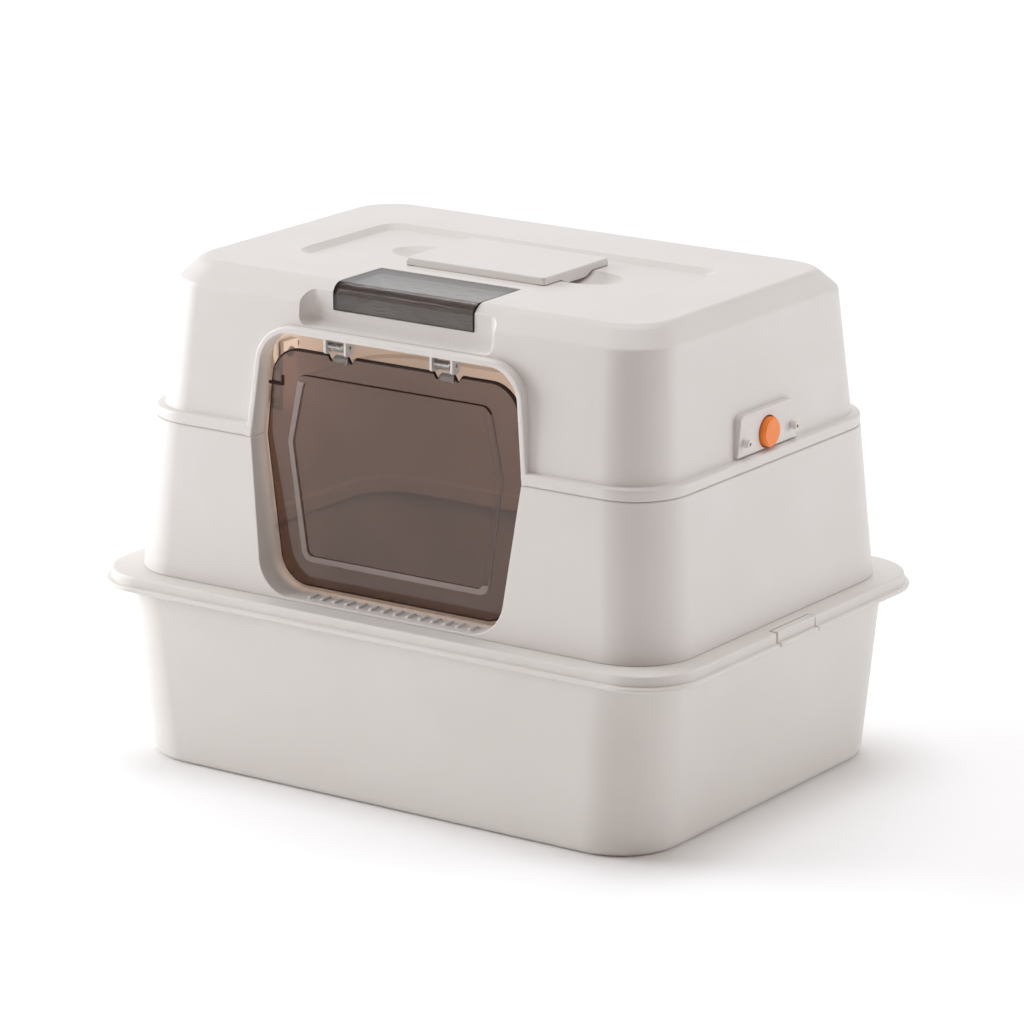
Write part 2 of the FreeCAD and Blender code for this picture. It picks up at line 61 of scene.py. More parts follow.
SIDES = (1, -1)
QUARTERS = ((-1, -1), (1, -1), (1, 1), (-1, 1))
MOST_OF_SIDE = 0.48  # how much of a side one rounding may take up
TOUCH = 0.05  # a place this near a surface, in millimetres, lies on it
TOUCH_CLOSELY = 0.02
ON_OUTLINE = 0.3
CORNER_REACH = 9.0  # how far inside its straight sides a rounded corner of the doorway may pass


class Body(Enum):
    """The bodies that pieces ride on."""

    PAN = "pan"
    SURROUND = "surround"
    HOOD = "hood"
    FLAP = "flap"
    VENT_LID = "vent_lid"
    HANDLE = "handle"
    BUTTON_RIGHT = "button_right"
    BUTTON_LEFT = "button_left"


class Plane(Enum):
    """Where a flat outline is drawn: (across, up, level) becomes X, Y, Z in this order."""

    FLOOR = (0, 1, 2)
    FRONT = (0, 2, 1)
    SIDE = (2, 0, 1)

    def point(self, across: float, up: float, level: float) -> Vector:
        """Turn a place on the outline, in millimetres, into metres."""
        given = (across, up, level)
        return Vector([given[i] * MM for i in self.value])

    @property
    def normal(self) -> Vector:
        """The direction in which level grows."""
        return self.point(0, 0, 1).normalized()


# ---- modelling helpers ----


def deselect() -> None:
    """Leave nothing selected, because an operator acts on all that is."""
    bpy.ops.object.select_all(action="DESELECT")


def activate(piece: Piece) -> None:
    """Select one piece alone and make it active."""
    deselect()
    piece.hide_viewport = False
    piece.select_set(True)
    bpy.context.view_layer.objects.active = piece


@contextmanager
def editing(piece: Piece, kind: str = "VERT", everything: bool = False) -> Iterator[None]:
    """Open a piece in edit mode, and close it afterwards.

    Args:
        piece: The mesh object to edit.
        kind: The select mode, VERT, EDGE or FACE.
        everything: Whether all of it starts selected, rather than nothing.
    """
    activate(piece)
    bpy.ops.object.mode_set(mode="EDIT")
    bpy.ops.mesh.select_mode(type=kind)
    bpy.ops.mesh.select_all(action="SELECT" if everything else "DESELECT")
    yield
    bpy.ops.object.mode_set(mode="OBJECT")


def choose(piece: Piece, kind: str, test: Test) -> int:
    """Select the elements of an open piece that pass a test, and nothing else.

    Args:
        piece: The mesh object in edit mode.
        kind: VERT, EDGE or FACE.
        test: Says whether one bmesh element is wanted.

    Returns:
        How many were selected.
    """
    bpy.ops.mesh.select_mode(type=kind)
    bpy.ops.mesh.select_all(action="DESELECT")
    mesh = bmesh.from_edit_mesh(piece.data)
    elements = {"VERT": mesh.verts, "EDGE": mesh.edges, "FACE": mesh.faces}[kind]
    found = [element for element in elements if test(element)]
    for element in found:
        element.select_set(True)
    mesh.select_flush_mode()
    bmesh.update_edit_mesh(piece.data)
    return len(found)


def ends(edge: Any) -> list[Vector]:
    """Both ends of a bmesh edge, in millimetres."""
    return [vert.co / MM for vert in edge.verts]


def middle(edge: Any) -> Vector:
    """The middle of a bmesh edge, in millimetres."""
    return (edge.verts[0].co + edge.verts[1].co) / (2 * MM)


def sharp(edge: Any, angle: float) -> bool:
    """Whether a bmesh edge's two faces meet at more than an angle, in radians."""
    return edge.calc_face_angle(0.0) > angle


def bevel_edges(piece: Piece, test: Test, width: float, segments: int = 3) -> None:
    """Round the edges that pass a test, by a width in millimetres."""
    with editing(piece, "EDGE"):
        if choose(piece, "EDGE", test):
            bpy.ops.mesh.bevel(
                offset=width * MM, segments=segments, profile=0.5, affect="EDGES", clamp_overlap=True
            )


def close_up(piece: Piece) -> Piece:
    """Merge doubles and turn every face outwards."""
    with editing(piece, everything=True):
        bpy.ops.mesh.remove_doubles(threshold=0.00001)
        bpy.ops.mesh.normals_make_consistent(inside=False)
    return piece


def apply_modifiers(piece: Piece) -> None:
    """Apply every modifier on a piece."""
    activate(piece)
    for modifier in list(piece.modifiers):
        bpy.ops.object.modifier_apply(modifier=modifier.name)


def combine(piece: Piece, operation: str, *tools: Piece) -> Piece:
    """Join, cut or intersect a piece with tools, which are used up.

    Args:
        piece: The mesh object that is changed.
        operation: UNION, DIFFERENCE or INTERSECT.
        tools: Closed meshes.

    Returns:
        The changed piece.
    """
    for tool in tools:
        modifier = piece.modifiers.new("combine", "BOOLEAN")
        modifier.operation = operation
        modifier.solver = "EXACT"
        modifier.object = tool
        apply_modifiers(piece)
        bpy.data.objects.remove(tool)
    return piece


def cut(piece: Piece, *tools: Piece) -> Piece:
    """Cut tools out of a piece."""
    return combine(piece, "DIFFERENCE", *tools)


def join(piece: Piece, *tools: Piece) -> Piece:
    """Weld tools into a piece."""
    return combine(piece, "UNION", *tools)


def smooth(piece: Piece, degrees: float = 30) -> Piece:
    """Shade a piece smooth where its faces meet softly, with flat faces kept flat."""
    activate(piece)
    bpy.ops.object.shade_smooth_by_angle(angle=math.radians(degrees))
    weighted = piece.modifiers.new("weighted", "WEIGHTED_NORMAL")
    weighted.keep_sharp = True
    weighted.weight = 80
    apply_modifiers(piece)
    return piece


def copied(piece: Piece, name: str) -> Piece:
    """Copy a piece with its own mesh, and leave the copy selected."""
    activate(piece)
    bpy.ops.object.duplicate(linked=False)
    bpy.context.object.name = name
    return bpy.context.object


def twin(piece: Piece) -> Piece:
    """Copy a right-hand piece to the left of the centre plane."""
    copy = copied(piece, piece.name.replace("right", "left"))
    bpy.ops.transform.mirror(constraint_axis=(True, False, False), center_override=(0, 0, 0))
    bpy.ops.object.transform_apply(location=True, rotation=True, scale=True)
    return smooth(close_up(copy))


def shift(piece: Piece, by: Sequence[float]) -> Piece:
    """Move a piece's mesh by a distance in millimetres."""
    with editing(piece, everything=True):
        bpy.ops.transform.translate(value=Vector(by) * MM)
    return piece


def merge(pieces: Sequence[Piece], name: str) -> Piece:
    """Put several pieces in one object."""
    activate(pieces[0])
    for piece in pieces:
        piece.select_set(True)
    if len(pieces) > 1:
        bpy.ops.object.join()
    pieces[0].name = name
    return pieces[0]


def span(side: int, near: float, far: float) -> list[float]:
    """A stretch along X on one side of the centre plane, its low end first."""
    return sorted((side * near, side * far))


def rectangle(x: float, y: float, half_x: float, half_y: float, radius: float) -> list[Corner]:
    """The corners of a rounded rectangle round a centre."""
    return [(x + i * half_x, y + j * half_y, radius) for i, j in QUARTERS]


def outline(
    name: str, corners: Sequence[Corner], plane: Plane, level: float, steps: int = 10
) -> Piece:
    """Draw one flat face with rounded corners.

    Args:
        name: The object's name.
        corners: (across, up, radius) of each corner, in millimetres.
        plane: Where the face lies.
        level: Its place along the plane's normal.
        steps: How many edges make each corner.

    Returns:
        The flat mesh object.
    """
    deselect()
    bpy.ops.mesh.primitive_circle_add(vertices=len(corners), radius=1.0, fill_type="NGON")
    piece = bpy.context.object
    piece.name = name
    places = [plane.point(across, up, level) for across, up, _ in corners]
    with editing(piece):
        for i, place in enumerate(places):
            choose(piece, "VERT", lambda vert: vert.index == i)
            here = bmesh.from_edit_mesh(piece.data).verts
            here.ensure_lookup_table()
            bpy.ops.transform.translate(value=place - here[i].co)
        for i, (_, _, radius) in enumerate(corners):
            if radius <= 0:
                continue
            place = places[i]
            half = (places[i - 1] - place).angle(places[(i + 1) % len(places)] - place) / 2
            choose(piece, "VERT", lambda vert: (vert.co - place).length < 1e-6)
            offset = radius * MM / math.tan(half)
            bpy.ops.mesh.bevel(
                affect="VERTICES", offset=offset, segments=steps, profile=0.5, clamp_overlap=False
            )
    return piece


def slab(
    name: str, corners: Sequence[Corner], plane: Plane, start: float, end: float,
    round_start: float = 0.0, round_end: float = 0.0, steps: int = 10,
) -> Piece:
    """Raise a rounded outline into a closed slab, with its rims rounded if asked.

    Args:
        name: The object's name.
        corners: (across, up, radius) of each corner, in millimetres.
        plane: The plane the outline lies in.
        start: Where the slab starts along the plane's normal.
        end: Where it ends.
        round_start: The rounding of the rim at the start.
        round_end: The rounding of the rim at the end.
        steps: How many edges make each corner.

    Returns:
        The closed mesh object.
    """
    piece = outline(name, corners, plane, start, steps)
    with editing(piece, "FACE", everything=True):
        bpy.ops.mesh.extrude_region_move(
            TRANSFORM_OT_translate={"value": plane.normal * (end - start) * MM}
        )
    close_up(piece)
    normal = plane.normal
    for place, width in ((start, round_start), (end, round_end)):
        if width > 0:
            bevel_edges(
                piece,
                lambda edge: all(abs(vert.co.dot(normal) / MM - place) < 1e-3 for vert in edge.verts),
                width,
            )
    return piece


def brick(
    name: str, low: Sequence[float], high: Sequence[float], rounding: float = 0.0
) -> Piece:
    """A box between two corners in millimetres, with all its edges rounded if asked."""
    deselect()
    size = [(b - a) * MM for a, b in zip(low, high)]
    centre = [(a + b) / 2 * MM for a, b in zip(low, high)]
    bpy.ops.mesh.primitive_cube_add(size=1.0, location=(0, 0, 0))
    piece = bpy.context.object
    piece.name = name
    with editing(piece, everything=True):
        bpy.ops.transform.resize(value=size)
        bpy.ops.transform.translate(value=centre)
    if rounding:
        bevel_edges(piece, lambda edge: True, rounding, 3)
    return piece


def soften(profile: Sequence[Ring], steps: int = 4) -> list[tuple[float, float, float, float]]:
    """Round the corners of a loft's profile.

    Args:
        profile: (half width, half depth, corner radius, level, rounding) of each section.
        steps: How many extra sections make each rounding.

    Returns:
        (half width, half depth, corner radius, level) of every section.
    """
    sections = []
    for i, (*here, rounding) in enumerate(profile):
        point = Vector(here)
        if rounding <= 0 or i in (0, len(profile) - 1):
            sections.append(tuple(point))
            continue
        before, after = (Vector(profile[near][:4]) - point for near in (i - 1, i + 1))
        flat_before, flat_after = Vector((before[0], before[3])), Vector((after[0], after[3]))
        half = flat_before.angle(flat_after) / 2
        reach = rounding / math.tan(half)
        first = point + before * min(MOST_OF_SIDE, reach / flat_before.length)
        last = point + after * min(MOST_OF_SIDE, reach / flat_after.length)
        for step in range(steps + 1):
            t = step / steps
            sections.append(tuple(first * (1 - t) ** 2 + point * 2 * t * (1 - t) + last * t * t))
    return sections


def loft(name: str, profile: Sequence[Ring], closed: bool = False, steps: int = 12) -> Piece:
    """Draw a rounded rectangle and extrude it through every section of a profile.

    Args:
        name: The object's name.
        profile: (half width, half depth, corner radius, level, rounding) of each section.
        closed: Whether the last section meets the first, which makes a ring with no caps.
        steps: How many edges make each corner of a section.

    Returns:
        The closed mesh object.
    """
    sections = soften(profile)
    half_x, half_y, radius, level = sections[0]
    piece = outline(name, rectangle(0, 0, half_x, half_y, radius), Plane.FLOOR, level, steps)
    with editing(piece, "FACE", everything=True):
        for next_x, next_y, next_radius, next_level in sections[1:]:
            bpy.ops.mesh.extrude_region_move(
                TRANSFORM_OT_translate={"value": (0, 0, (next_level - level) * MM)}
            )
            bpy.ops.mesh.select_mode(type="VERT")
            mesh = bmesh.from_edit_mesh(piece.data)
            ring = {vert.index for vert in mesh.verts if vert.select}
            for x, y in QUARTERS:
                choose(piece, "VERT", lambda v: v.index in ring and v.co.x * x > 0 and v.co.y * y > 0)
                centre = Vector((x * (half_x - radius), y * (half_y - radius), next_level)) * MM
                target = Vector((x * (next_x - next_radius), y * (next_y - next_radius), next_level)) * MM
                ratio = next_radius / radius
                bpy.ops.transform.resize(value=(ratio, ratio, 1), center_override=centre)
                bpy.ops.transform.translate(value=target - centre)
            choose(piece, "VERT", lambda v: v.index in ring)
            bpy.ops.mesh.select_mode(type="FACE")
            half_x, half_y, radius, level = next_x, next_y, next_radius, next_level
        if closed:
            bpy.ops.mesh.delete(type="ONLY_FACE")
            choose(piece, "FACE", lambda face: len(face.verts) > 4)
            bpy.ops.mesh.delete(type="ONLY_FACE")
            choose(piece, "EDGE", lambda edge: edge.is_boundary)
            bpy.ops.mesh.bridge_edge_loops()
    return close_up(piece)


def turned(
    name: str, centre: Sequence[float], plane: Plane, profile: Sequence[tuple[float, float, float]],
    vertices: int = 48,
) -> Piece:
    """Make a round piece by extruding a circle through (radius, level, rounding) sections.

    Args:
        name: The object's name.
        centre: Where the axis crosses the plane, (across, up), in millimetres.
        plane: The plane the circle lies in.
        profile: The sections, in millimetres, from one end to the other.
        vertices: How many edges make the circle.

    Returns:
        The closed mesh object.
    """
    rounded = soften([(radius, radius, 0.0, level, bend) for radius, level, bend in profile])
    sections = [(radius, level) for radius, _, _, level in rounded]
    radius, level = sections[0]
    deselect()
    bpy.ops.mesh.primitive_circle_add(vertices=vertices, radius=radius * MM, fill_type="NGON")
    piece = bpy.context.object
    piece.name = name
    with editing(piece, "FACE", everything=True):
        if plane is not Plane.FLOOR:
            axis = "Y" if plane is Plane.SIDE else "X"
            bpy.ops.transform.rotate(value=math.pi / 2, orient_axis=axis, center_override=(0, 0, 0))
        bpy.ops.transform.translate(value=plane.point(*centre, level))
        for next_radius, next_level in sections[1:]:
            bpy.ops.mesh.extrude_region_move(
                TRANSFORM_OT_translate={"value": plane.normal * (next_level - level) * MM}
            )
            ratio = next_radius / radius
            bpy.ops.transform.resize(value=(ratio,) * 3, center_override=plane.point(*centre, next_level))
            radius, level = next_radius, next_level
    return close_up(piece)


def rod(
    name: str, centre: Sequence[float], plane: Plane, radius: float, start: float, end: float,
    rounding: float = 0.0,
) -> Piece:
    """A straight round rod with both rims rounded if asked."""
    sections = [(radius, start, rounding), (radius, end, rounding)]
    if rounding:
        inner = max(radius * 0.5, radius - 2 * rounding)
        sections = [(inner, start, 0.0), *sections, (inner, end, 0.0)]
    return turned(name, centre, plane, sections)


# ---- finishes ----


def linear(colour: str) -> tuple[float, float, float, float]:
    """Turn an sRGB hex colour into linear values."""
    parts = [int(colour[i:i + 2], 16) / 255 for i in (1, 3, 5)]
    return (*[p / 12.92 if p <= 0.04045 else ((p + 0.055) / 1.055) ** 2.4 for p in parts], 1.0)


def add(
    tree: Tree, kind: str, settings: dict[str, Any] | None = None, **inputs: Any
) -> bpy.types.Node:
    """Add a node with its settings and links.

    Args:
        tree: The material's node tree.
        kind: The node's type name.
        settings: Attributes of the node itself.
        inputs: Socket values, or sockets to link, by socket name with spaces as underscores.

    Returns:
        The new node.
    """
    node = tree.nodes.new(kind)
    for name, value in (settings or {}).items():
        setattr(node, name, value)
    for name, value in inputs.items():
        socket = node.inputs[int(name[1:])] if name[0] == "_" else node.inputs[name.replace("_", " ")]
        if isinstance(value, Socket):
            tree.links.new(value, socket)
        else:
            socket.default_value = value
    return node


def blank(name: str) -> tuple[Material, Tree, Socket]:
    """Start a material: itself, its empty tree and the Object coordinates' socket."""
    material = bpy.data.materials.new(name)
    material.use_nodes = True
    tree = material.node_tree
    tree.nodes.clear()
    return material, tree, add(tree, "ShaderNodeTexCoord").outputs["Object"]


def shade(tree: Tree, **inputs: Any) -> None:
    """End a material with its Principled node, inputs set or linked, and its output."""
    shader = add(tree, "ShaderNodeBsdfPrincipled", **inputs)
    add(tree, "ShaderNodeOutputMaterial", Surface=shader.outputs["BSDF"])


def bump(
    tree: Tree, height: Socket, depth: float, strength: float, **inputs: Any
) -> Socket:
    """Turn a pattern into relief, its depth in millimetres."""
    node = add(tree, "ShaderNodeBump", Height=height, Distance=depth * MM, Strength=strength, **inputs)
    return node.outputs["Normal"]


def noise(
    tree: Tree, where: Socket, spacing: float, detail: float = 2.0,
    roughness: float = 0.5, stretch: Sequence[float] = (1, 1, 1),
) -> Socket:
    """A noise pattern whose features are about one spacing apart.

    Args:
        tree: The material's node tree.
        where: The coordinates' socket, in metres.
        spacing: The distance between features, in millimetres.
        detail: How many finer octaves are added.
        roughness: How strong those are.
        stretch: How much denser the pattern is along each axis.

    Returns:
        The pattern's socket, 0 to 1.
    """
    mapped = add(tree, "ShaderNodeMapping", Vector=where, Scale=stretch).outputs["Vector"]
    return add(
        tree, "ShaderNodeTexNoise",
        Vector=mapped, Scale=1 / (spacing * MM), Detail=detail, Roughness=roughness,
    ).outputs["Fac"]


def spread(
    tree: Tree, value: Socket, low: float, high: float,
    source: tuple[float, float] = (0.3, 0.7),
) -> Socket:
    """Map a pattern onto a range of numbers."""
    return add(
        tree, "ShaderNodeMapRange",
        Value=value, From_Min=source[0], From_Max=source[1], To_Min=low, To_Max=high,
    ).outputs["Result"]


def blend_colours(
    tree: Tree, factor: Socket, first: str, second: str
) -> Socket:
    """Mix two sRGB hex colours by a pattern."""
    ramp = add(tree, "ShaderNodeValToRGB", Fac=factor)
    ramp.color_ramp.elements[0].color = linear(first)
    ramp.color_ramp.elements[0].position = 0.3
    ramp.color_ramp.elements[1].color = linear(second)
    ramp.color_ramp.elements[1].position = 0.7
    return ramp.outputs["Color"]


@dataclass(frozen=True)
class MouldedPolypropylene:
    """Injection-moulded PP with a spark-eroded satin grain: soft broad shine and a faint fine texture."""

    name: str
    light: str
    dark: str
    roughness: float = 0.42
    grain: float = 0.9  # the real grain is about 0.1 mm, drawn coarser so that it shows
    grain_height: float = 0.012
    flow: float = 70.0  # melt-flow clouding across a wall
    glow: float = 0.04

    def build(self) -> Material:
        """Make the material."""
        material, tree, where = blank(self.name)
        cloud = noise(tree, where, self.flow, 3.0)
        grain = noise(tree, where, self.grain, 3.0, 0.6)
        swell = bump(tree, noise(tree, where, 45.0, 1.0), 0.05, 0.5)  # slow sink and warp of the wall
        shade(
            tree,
            Base_Color=blend_colours(tree, cloud, self.dark, self.light),
            Roughness=spread(tree, grain, self.roughness - 0.05, self.roughness + 0.06),
            Normal=bump(tree, grain, self.grain_height, 1.0, Normal=swell),
            IOR=1.49,
            Subsurface_Weight=self.glow,
            Subsurface_Radius=(1.0, 0.7, 0.5),
            Subsurface_Scale=2.0 * MM,
        )
        return material


@dataclass(frozen=True)
class SmokeTintedSan:
    """Polished-mould SAN with a smoke dye: glassy, brown-grey, with a slight ripple from the mould."""

    name: str
    light: str
    dark: str
    roughness: float = 0.03
    cover: float = 1.0
    # Clarity is also lowered in the paler smoke that paints a highlight on the flap ring's lower runs.
    clarity: float = 1.0  # lower on a cut edge, where the light has come a long way through the dye
    ripple: float = 0.05
    gloss: float = 0.5

    def build(self) -> Material:
        """Make the material."""
        material, tree, where = blank(self.name)
        haze = noise(tree, where, 12.0, 3.0)
        shade(
            tree,
            Base_Color=blend_colours(tree, noise(tree, where, 60.0, 2.0), self.dark, self.light),
            Roughness=spread(tree, haze, self.roughness * 0.6, self.roughness * 1.6),
            Normal=bump(tree, noise(tree, where, 25.0, 1.0), self.ripple, 0.6),
            Transmission_Weight=self.clarity,
            Specular_IOR_Level=self.gloss,
            IOR=1.57,
            Alpha=self.cover,
        )
        return material


@dataclass(frozen=True)
class GlossedAbs:
    """Moulded ABS in a solid colour: an even semi-gloss skin with a very fine grain."""

    name: str
    light: str
    dark: str
    roughness: float = 0.34

    def build(self) -> Material:
        """Make the material."""
        material, tree, where = blank(self.name)
        grain = noise(tree, where, 0.6, 2.0)
        shade(
            tree,
            Base_Color=blend_colours(tree, noise(tree, where, 9.0, 2.0), self.dark, self.light),
            Roughness=spread(tree, grain, self.roughness - 0.05, self.roughness + 0.05),
            Normal=bump(tree, grain, 0.012, 0.8),
            IOR=1.53,
        )
        return material


@dataclass(frozen=True)
class CarbonFelt:
    """Needled charcoal felt: matt and dark, with tangled fibres and a dusty sheen."""

    name: str = "charcoal_needled_felt"
    light: str = "#4A4B4C"
    dark: str = "#222324"

    def build(self) -> Material:
        """Make the material."""
        material, tree, where = blank(self.name)
        fibre, cross = (noise(tree, where, 1.6, 6.0, 0.75, lay) for lay in ((1, 3, 1), (3, 1, 1)))
        tangle = add(tree, "ShaderNodeMath", {"operation": "MULTIPLY"}, _0=fibre, _1=cross).outputs["Value"]
        matted = spread(tree, tangle, 0.0, 1.0, (0.1, 0.45))
        shade(
            tree,
            Base_Color=blend_colours(tree, matted, self.dark, self.light),
            Roughness=0.95,
            Normal=bump(tree, matted, 0.6, 1.0),
            Sheen_Weight=0.3,
        )
        return material


@dataclass(frozen=True)
class PlatedSteel:
    """Steel with drawn or turned marks under thin plating: grey, with fine streaks in its shine."""

    name: str
    light: str
    dark: str
    roughness: float = 0.3
    streak: tuple[float, float, float] = (1.0, 1.0, 8.0)

    def build(self) -> Material:
        """Make the material."""
        material, tree, where = blank(self.name)
        mark = noise(tree, where, 1.2, 3.0, 0.6, self.streak)
        shade(
            tree,
            Base_Color=blend_colours(tree, noise(tree, where, 4.0, 2.0), self.dark, self.light),
            Roughness=spread(tree, mark, self.roughness - 0.1, self.roughness + 0.12),
            Normal=bump(tree, mark, 0.02, 0.6),
            Metallic=1.0,
        )
        return material


def made(recipe: Any) -> Any:
    """A field that holds one finish, built when the set of finishes is made."""
    return field(default_factory=recipe.build)


@dataclass
class Finishes:
    """Every finish on the box, made once."""

    shell: Material = made(MouldedPolypropylene("satin_polypropylene_shell", "#DEDAD6", "#DBD6D2"))
    pan: Material = made(MouldedPolypropylene("satin_polypropylene_pan", "#DDD9D4", "#DAD5D0", 0.45))
    inner: Material = made(
        MouldedPolypropylene("natural_polypropylene_inner", "#E4E1DC", "#DCD8D2", 0.5, 0.7))
    flap: Material = made(SmokeTintedSan("smoke_san_flap", "#886F62", "#7E6558", 0.015))
    vent: Material = made(
        SmokeTintedSan("smoke_san_vent_lid", "#73655E", "#695B55", 0.015, cover=0.7, ripple=0.01))
    # Painted highlight: a paler, cloudier smoke on the ring's lower runs stands in for the light they catch.
    painted_ring_highlight: Material = made(SmokeTintedSan("smoke_san_painted_ring_highlight", "#ADA09D", "#A39693", 0.05, clarity=0.55))
    # Dark opaque smoke for cut edges, side lips and the stop tab; on the flap ring's top run it is painted
    # shade.
    dark_edge_and_painted_shade: Material = made(
        SmokeTintedSan("smoke_san_cut_edge_and_painted_shade", "#3A2C28", "#2E2320", 0.4, clarity=0.0, gloss=0.1))
    clear: Material = made(SmokeTintedSan("clear_san_knuckle", "#E6E4E2", "#DDDBD9"))
    button: Material = made(GlossedAbs("glossed_abs_orange", "#FA8A34", "#F4822C"))
    felt: Material = made(CarbonFelt())
    screw: Material = made(PlatedSteel("zinc_plated_screw_steel", "#C4C6C8", "#A9ACB0"))
    spring: Material = made(PlatedSteel("drawn_spring_steel", "#9EA1A4", "#86898C", 0.36))
    pin: Material = made(PlatedSteel("ground_pin_steel", "#D2D3D4", "#BFC1C3", 0.22, (10.0, 1.0, 1.0)))


def hand_over(
    piece: Piece, material: Material, body: Body, slot: str, *nodes: str,
    others: Sequence[tuple[Material, Callable[[Vector, Vector], bool]]] = (),
) -> Piece:
    """Finish a piece: its material, the body it rides on and the nodes it stands for.

    Args:
        piece: The finished mesh object.
        material: Its finish.
        body: The body it rides on.
        slot: Not used.
        nodes: The CAD nodes it replaces.
        others: Further finishes, each with a test of a face's centre in millimetres and its normal.

    Returns:
        The piece.
    """
    piece.data.materials.clear()
    piece.data.materials.append(material)
    for other, _ in others:
        piece.data.materials.append(other)
    for polygon in piece.data.polygons:
        place = polygon.center / MM
        hits = [i for i, (_, test) in enumerate(others, 1) if test(place, polygon.normal)]
        polygon.material_index = hits[0] if hits else 0
    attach(piece, body.value)
    if nodes:
        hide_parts(*nodes)
    log.info("%s: %d faces on %s", piece.name, len(piece.data.polygons), body.value)
    return piece


def hand_over_pair(
    right: Piece, material: Material, bodies: tuple[Body, Body], slot: str, node: str
) -> None:
    """Mirror a finished right-hand piece, and hand both over for their own CAD nodes.

    Args:
        right: The finished right-hand mesh object.
        material: The finish of both.
        bodies: What the right and the left one ride on.
        slot: The record's material slot.
        node: The CAD nodes' name, less its side.
    """
    left = twin(right)
    for piece, body, side in zip((right, left), bodies, ("right", "left")):
        hand_over(piece, material, body, slot, f"{node}_{side}")


# ---- the doorway, shared by the surround, the hood and the flap ----


@dataclass
class Doorway:
    """The six-sided doorway, widest at the seam between surround and hood."""

    sill: float = 145.0
    seam: float = 259.1
    head: float = 339.5
    sill_half: float = 105.5
    seam_half: float = 120.0
    head_half: float = 111.0
    foot_corner: float = 28.0
    head_corner: float = 25.0
    jamb_back: float = -138.0

    def half(self, level: float) -> float:
        """Half the doorway's width at a level."""
        end, narrow = (self.head, self.head_half) if level > self.seam else (self.sill, self.sill_half)
        return self.seam_half + (narrow - self.seam_half) * (level - self.seam) / (end - self.seam)

    def corners(
        self, grow: float = 0.0, foot: float | None = None, head: float | None = None,
        radii: tuple[float, float] | None = None,
    ) -> list[Corner]:
        """The doorway's outline, grown outwards.

        Args:
            grow: The margin outside the doorway's own sides.
            foot: The bottom level, if not the sill's.
            head: The top level, if not the head's.
            radii: The bottom and top corner radii, if not the doorway's own.

        Returns:
            The outline's corners.
        """
        foot = self.sill - grow if foot is None else foot
        head = self.head + grow if head is None else head
        low, high = radii or (self.foot_corner + grow, self.head_corner + grow)
        right = [
            (self.half(level) + grow, level, corner)
            for level, corner in ((foot, low), (self.seam, 0.0), (head, high))
        ]
        return right + [(-across, level, corner) for across, level, corner in reversed(right)]

    def distance(self, place: Vector) -> float:
        """How far a place in millimetres is outside the doorway's straight sides, roughly."""
        side = abs(place.x) - self.half(min(max(place.z, self.sill), self.head))
        return max(side, self.sill - place.z, place.z - self.head)


DOORWAY = Doorway()


# ---- sub-assemblies ----


@dataclass
class Pan:
    """The tub with its rolled rim, the ledge the surround stands on, and the two rim clips."""

    wall: float = 3.0
    clip_front: float = -29.0
    clip_back: float = 22.0
    notch: float = 3.0
    notch_play: float = 0.3

    def tub(self) -> Piece:
        """The tub and its rim as one folded wall."""
        profile: list[Ring] = [
            (205, 143.5, 24, 0, 0), (231, 169.5, 50, 0, 7), (242.7, 177.5, 50, 140.3, 1.5),
            (253.5, 179.5, 43, 140.3, 1), (254, 179.9, 43, 131.5, 0.5), (260, 185.5, 47, 131.5, 1.3),
            (260, 185.5, 47, 134.8, 1.3), (256.7, 182.2, 45, 134.8, 0.8), (256.5, 182, 45, 142.8, 2),
            (236, 161, 42, 142.8, 0.9), (236, 161, 42, 140.3, 0), (239.5, 174.4, 47, 140.3, 0),
            (228.4, 167, 47, 3, 9), (205, 143.5, 24, 3, 0),
        ]
        piece = loft("litter_pan_body", profile)
        for side in SIDES:
            low, high = span(side, 249.5, 263.0)
            front, back = self.clip_front - self.notch, self.clip_back + self.notch_play
            cut(piece, brick("notch", (low, front, 129.0), (high, back, 146.0)))
        return smooth(piece)

    def clip(self) -> Piece:
        """The right-hand rim clip: a flush face and the tongue that hooks under the rim."""
        front, back = self.clip_front, self.clip_back
        face = brick("rim_clip_body_right", (253.6, front, 131.8), (256.5, back, 142.6), 0.7)
        join(face, brick("roll", (254.2, front, 131.6), (259.9, back, 134.8), 1.2))
        cap = brick("cap", (250.2, front, 140.6), (256.4, back, 142.7), 0.5)
        tongue = brick("tongue", (246.0, front + 0.4, 137.8), (255.8, back - 0.4, 140.2), 0.4)
        return smooth(join(face, cap, tongue))

    def build(self, finishes: Finishes) -> None:
        """Make the pan's pieces and hand them over."""
        hand_over(self.tub(), finishes.pan, Body.PAN, "pan_pp", "litter_pan")
        hand_over_pair(self.clip(), finishes.pan, (Body.PAN, Body.PAN), "pan_pp", "rim_clip")


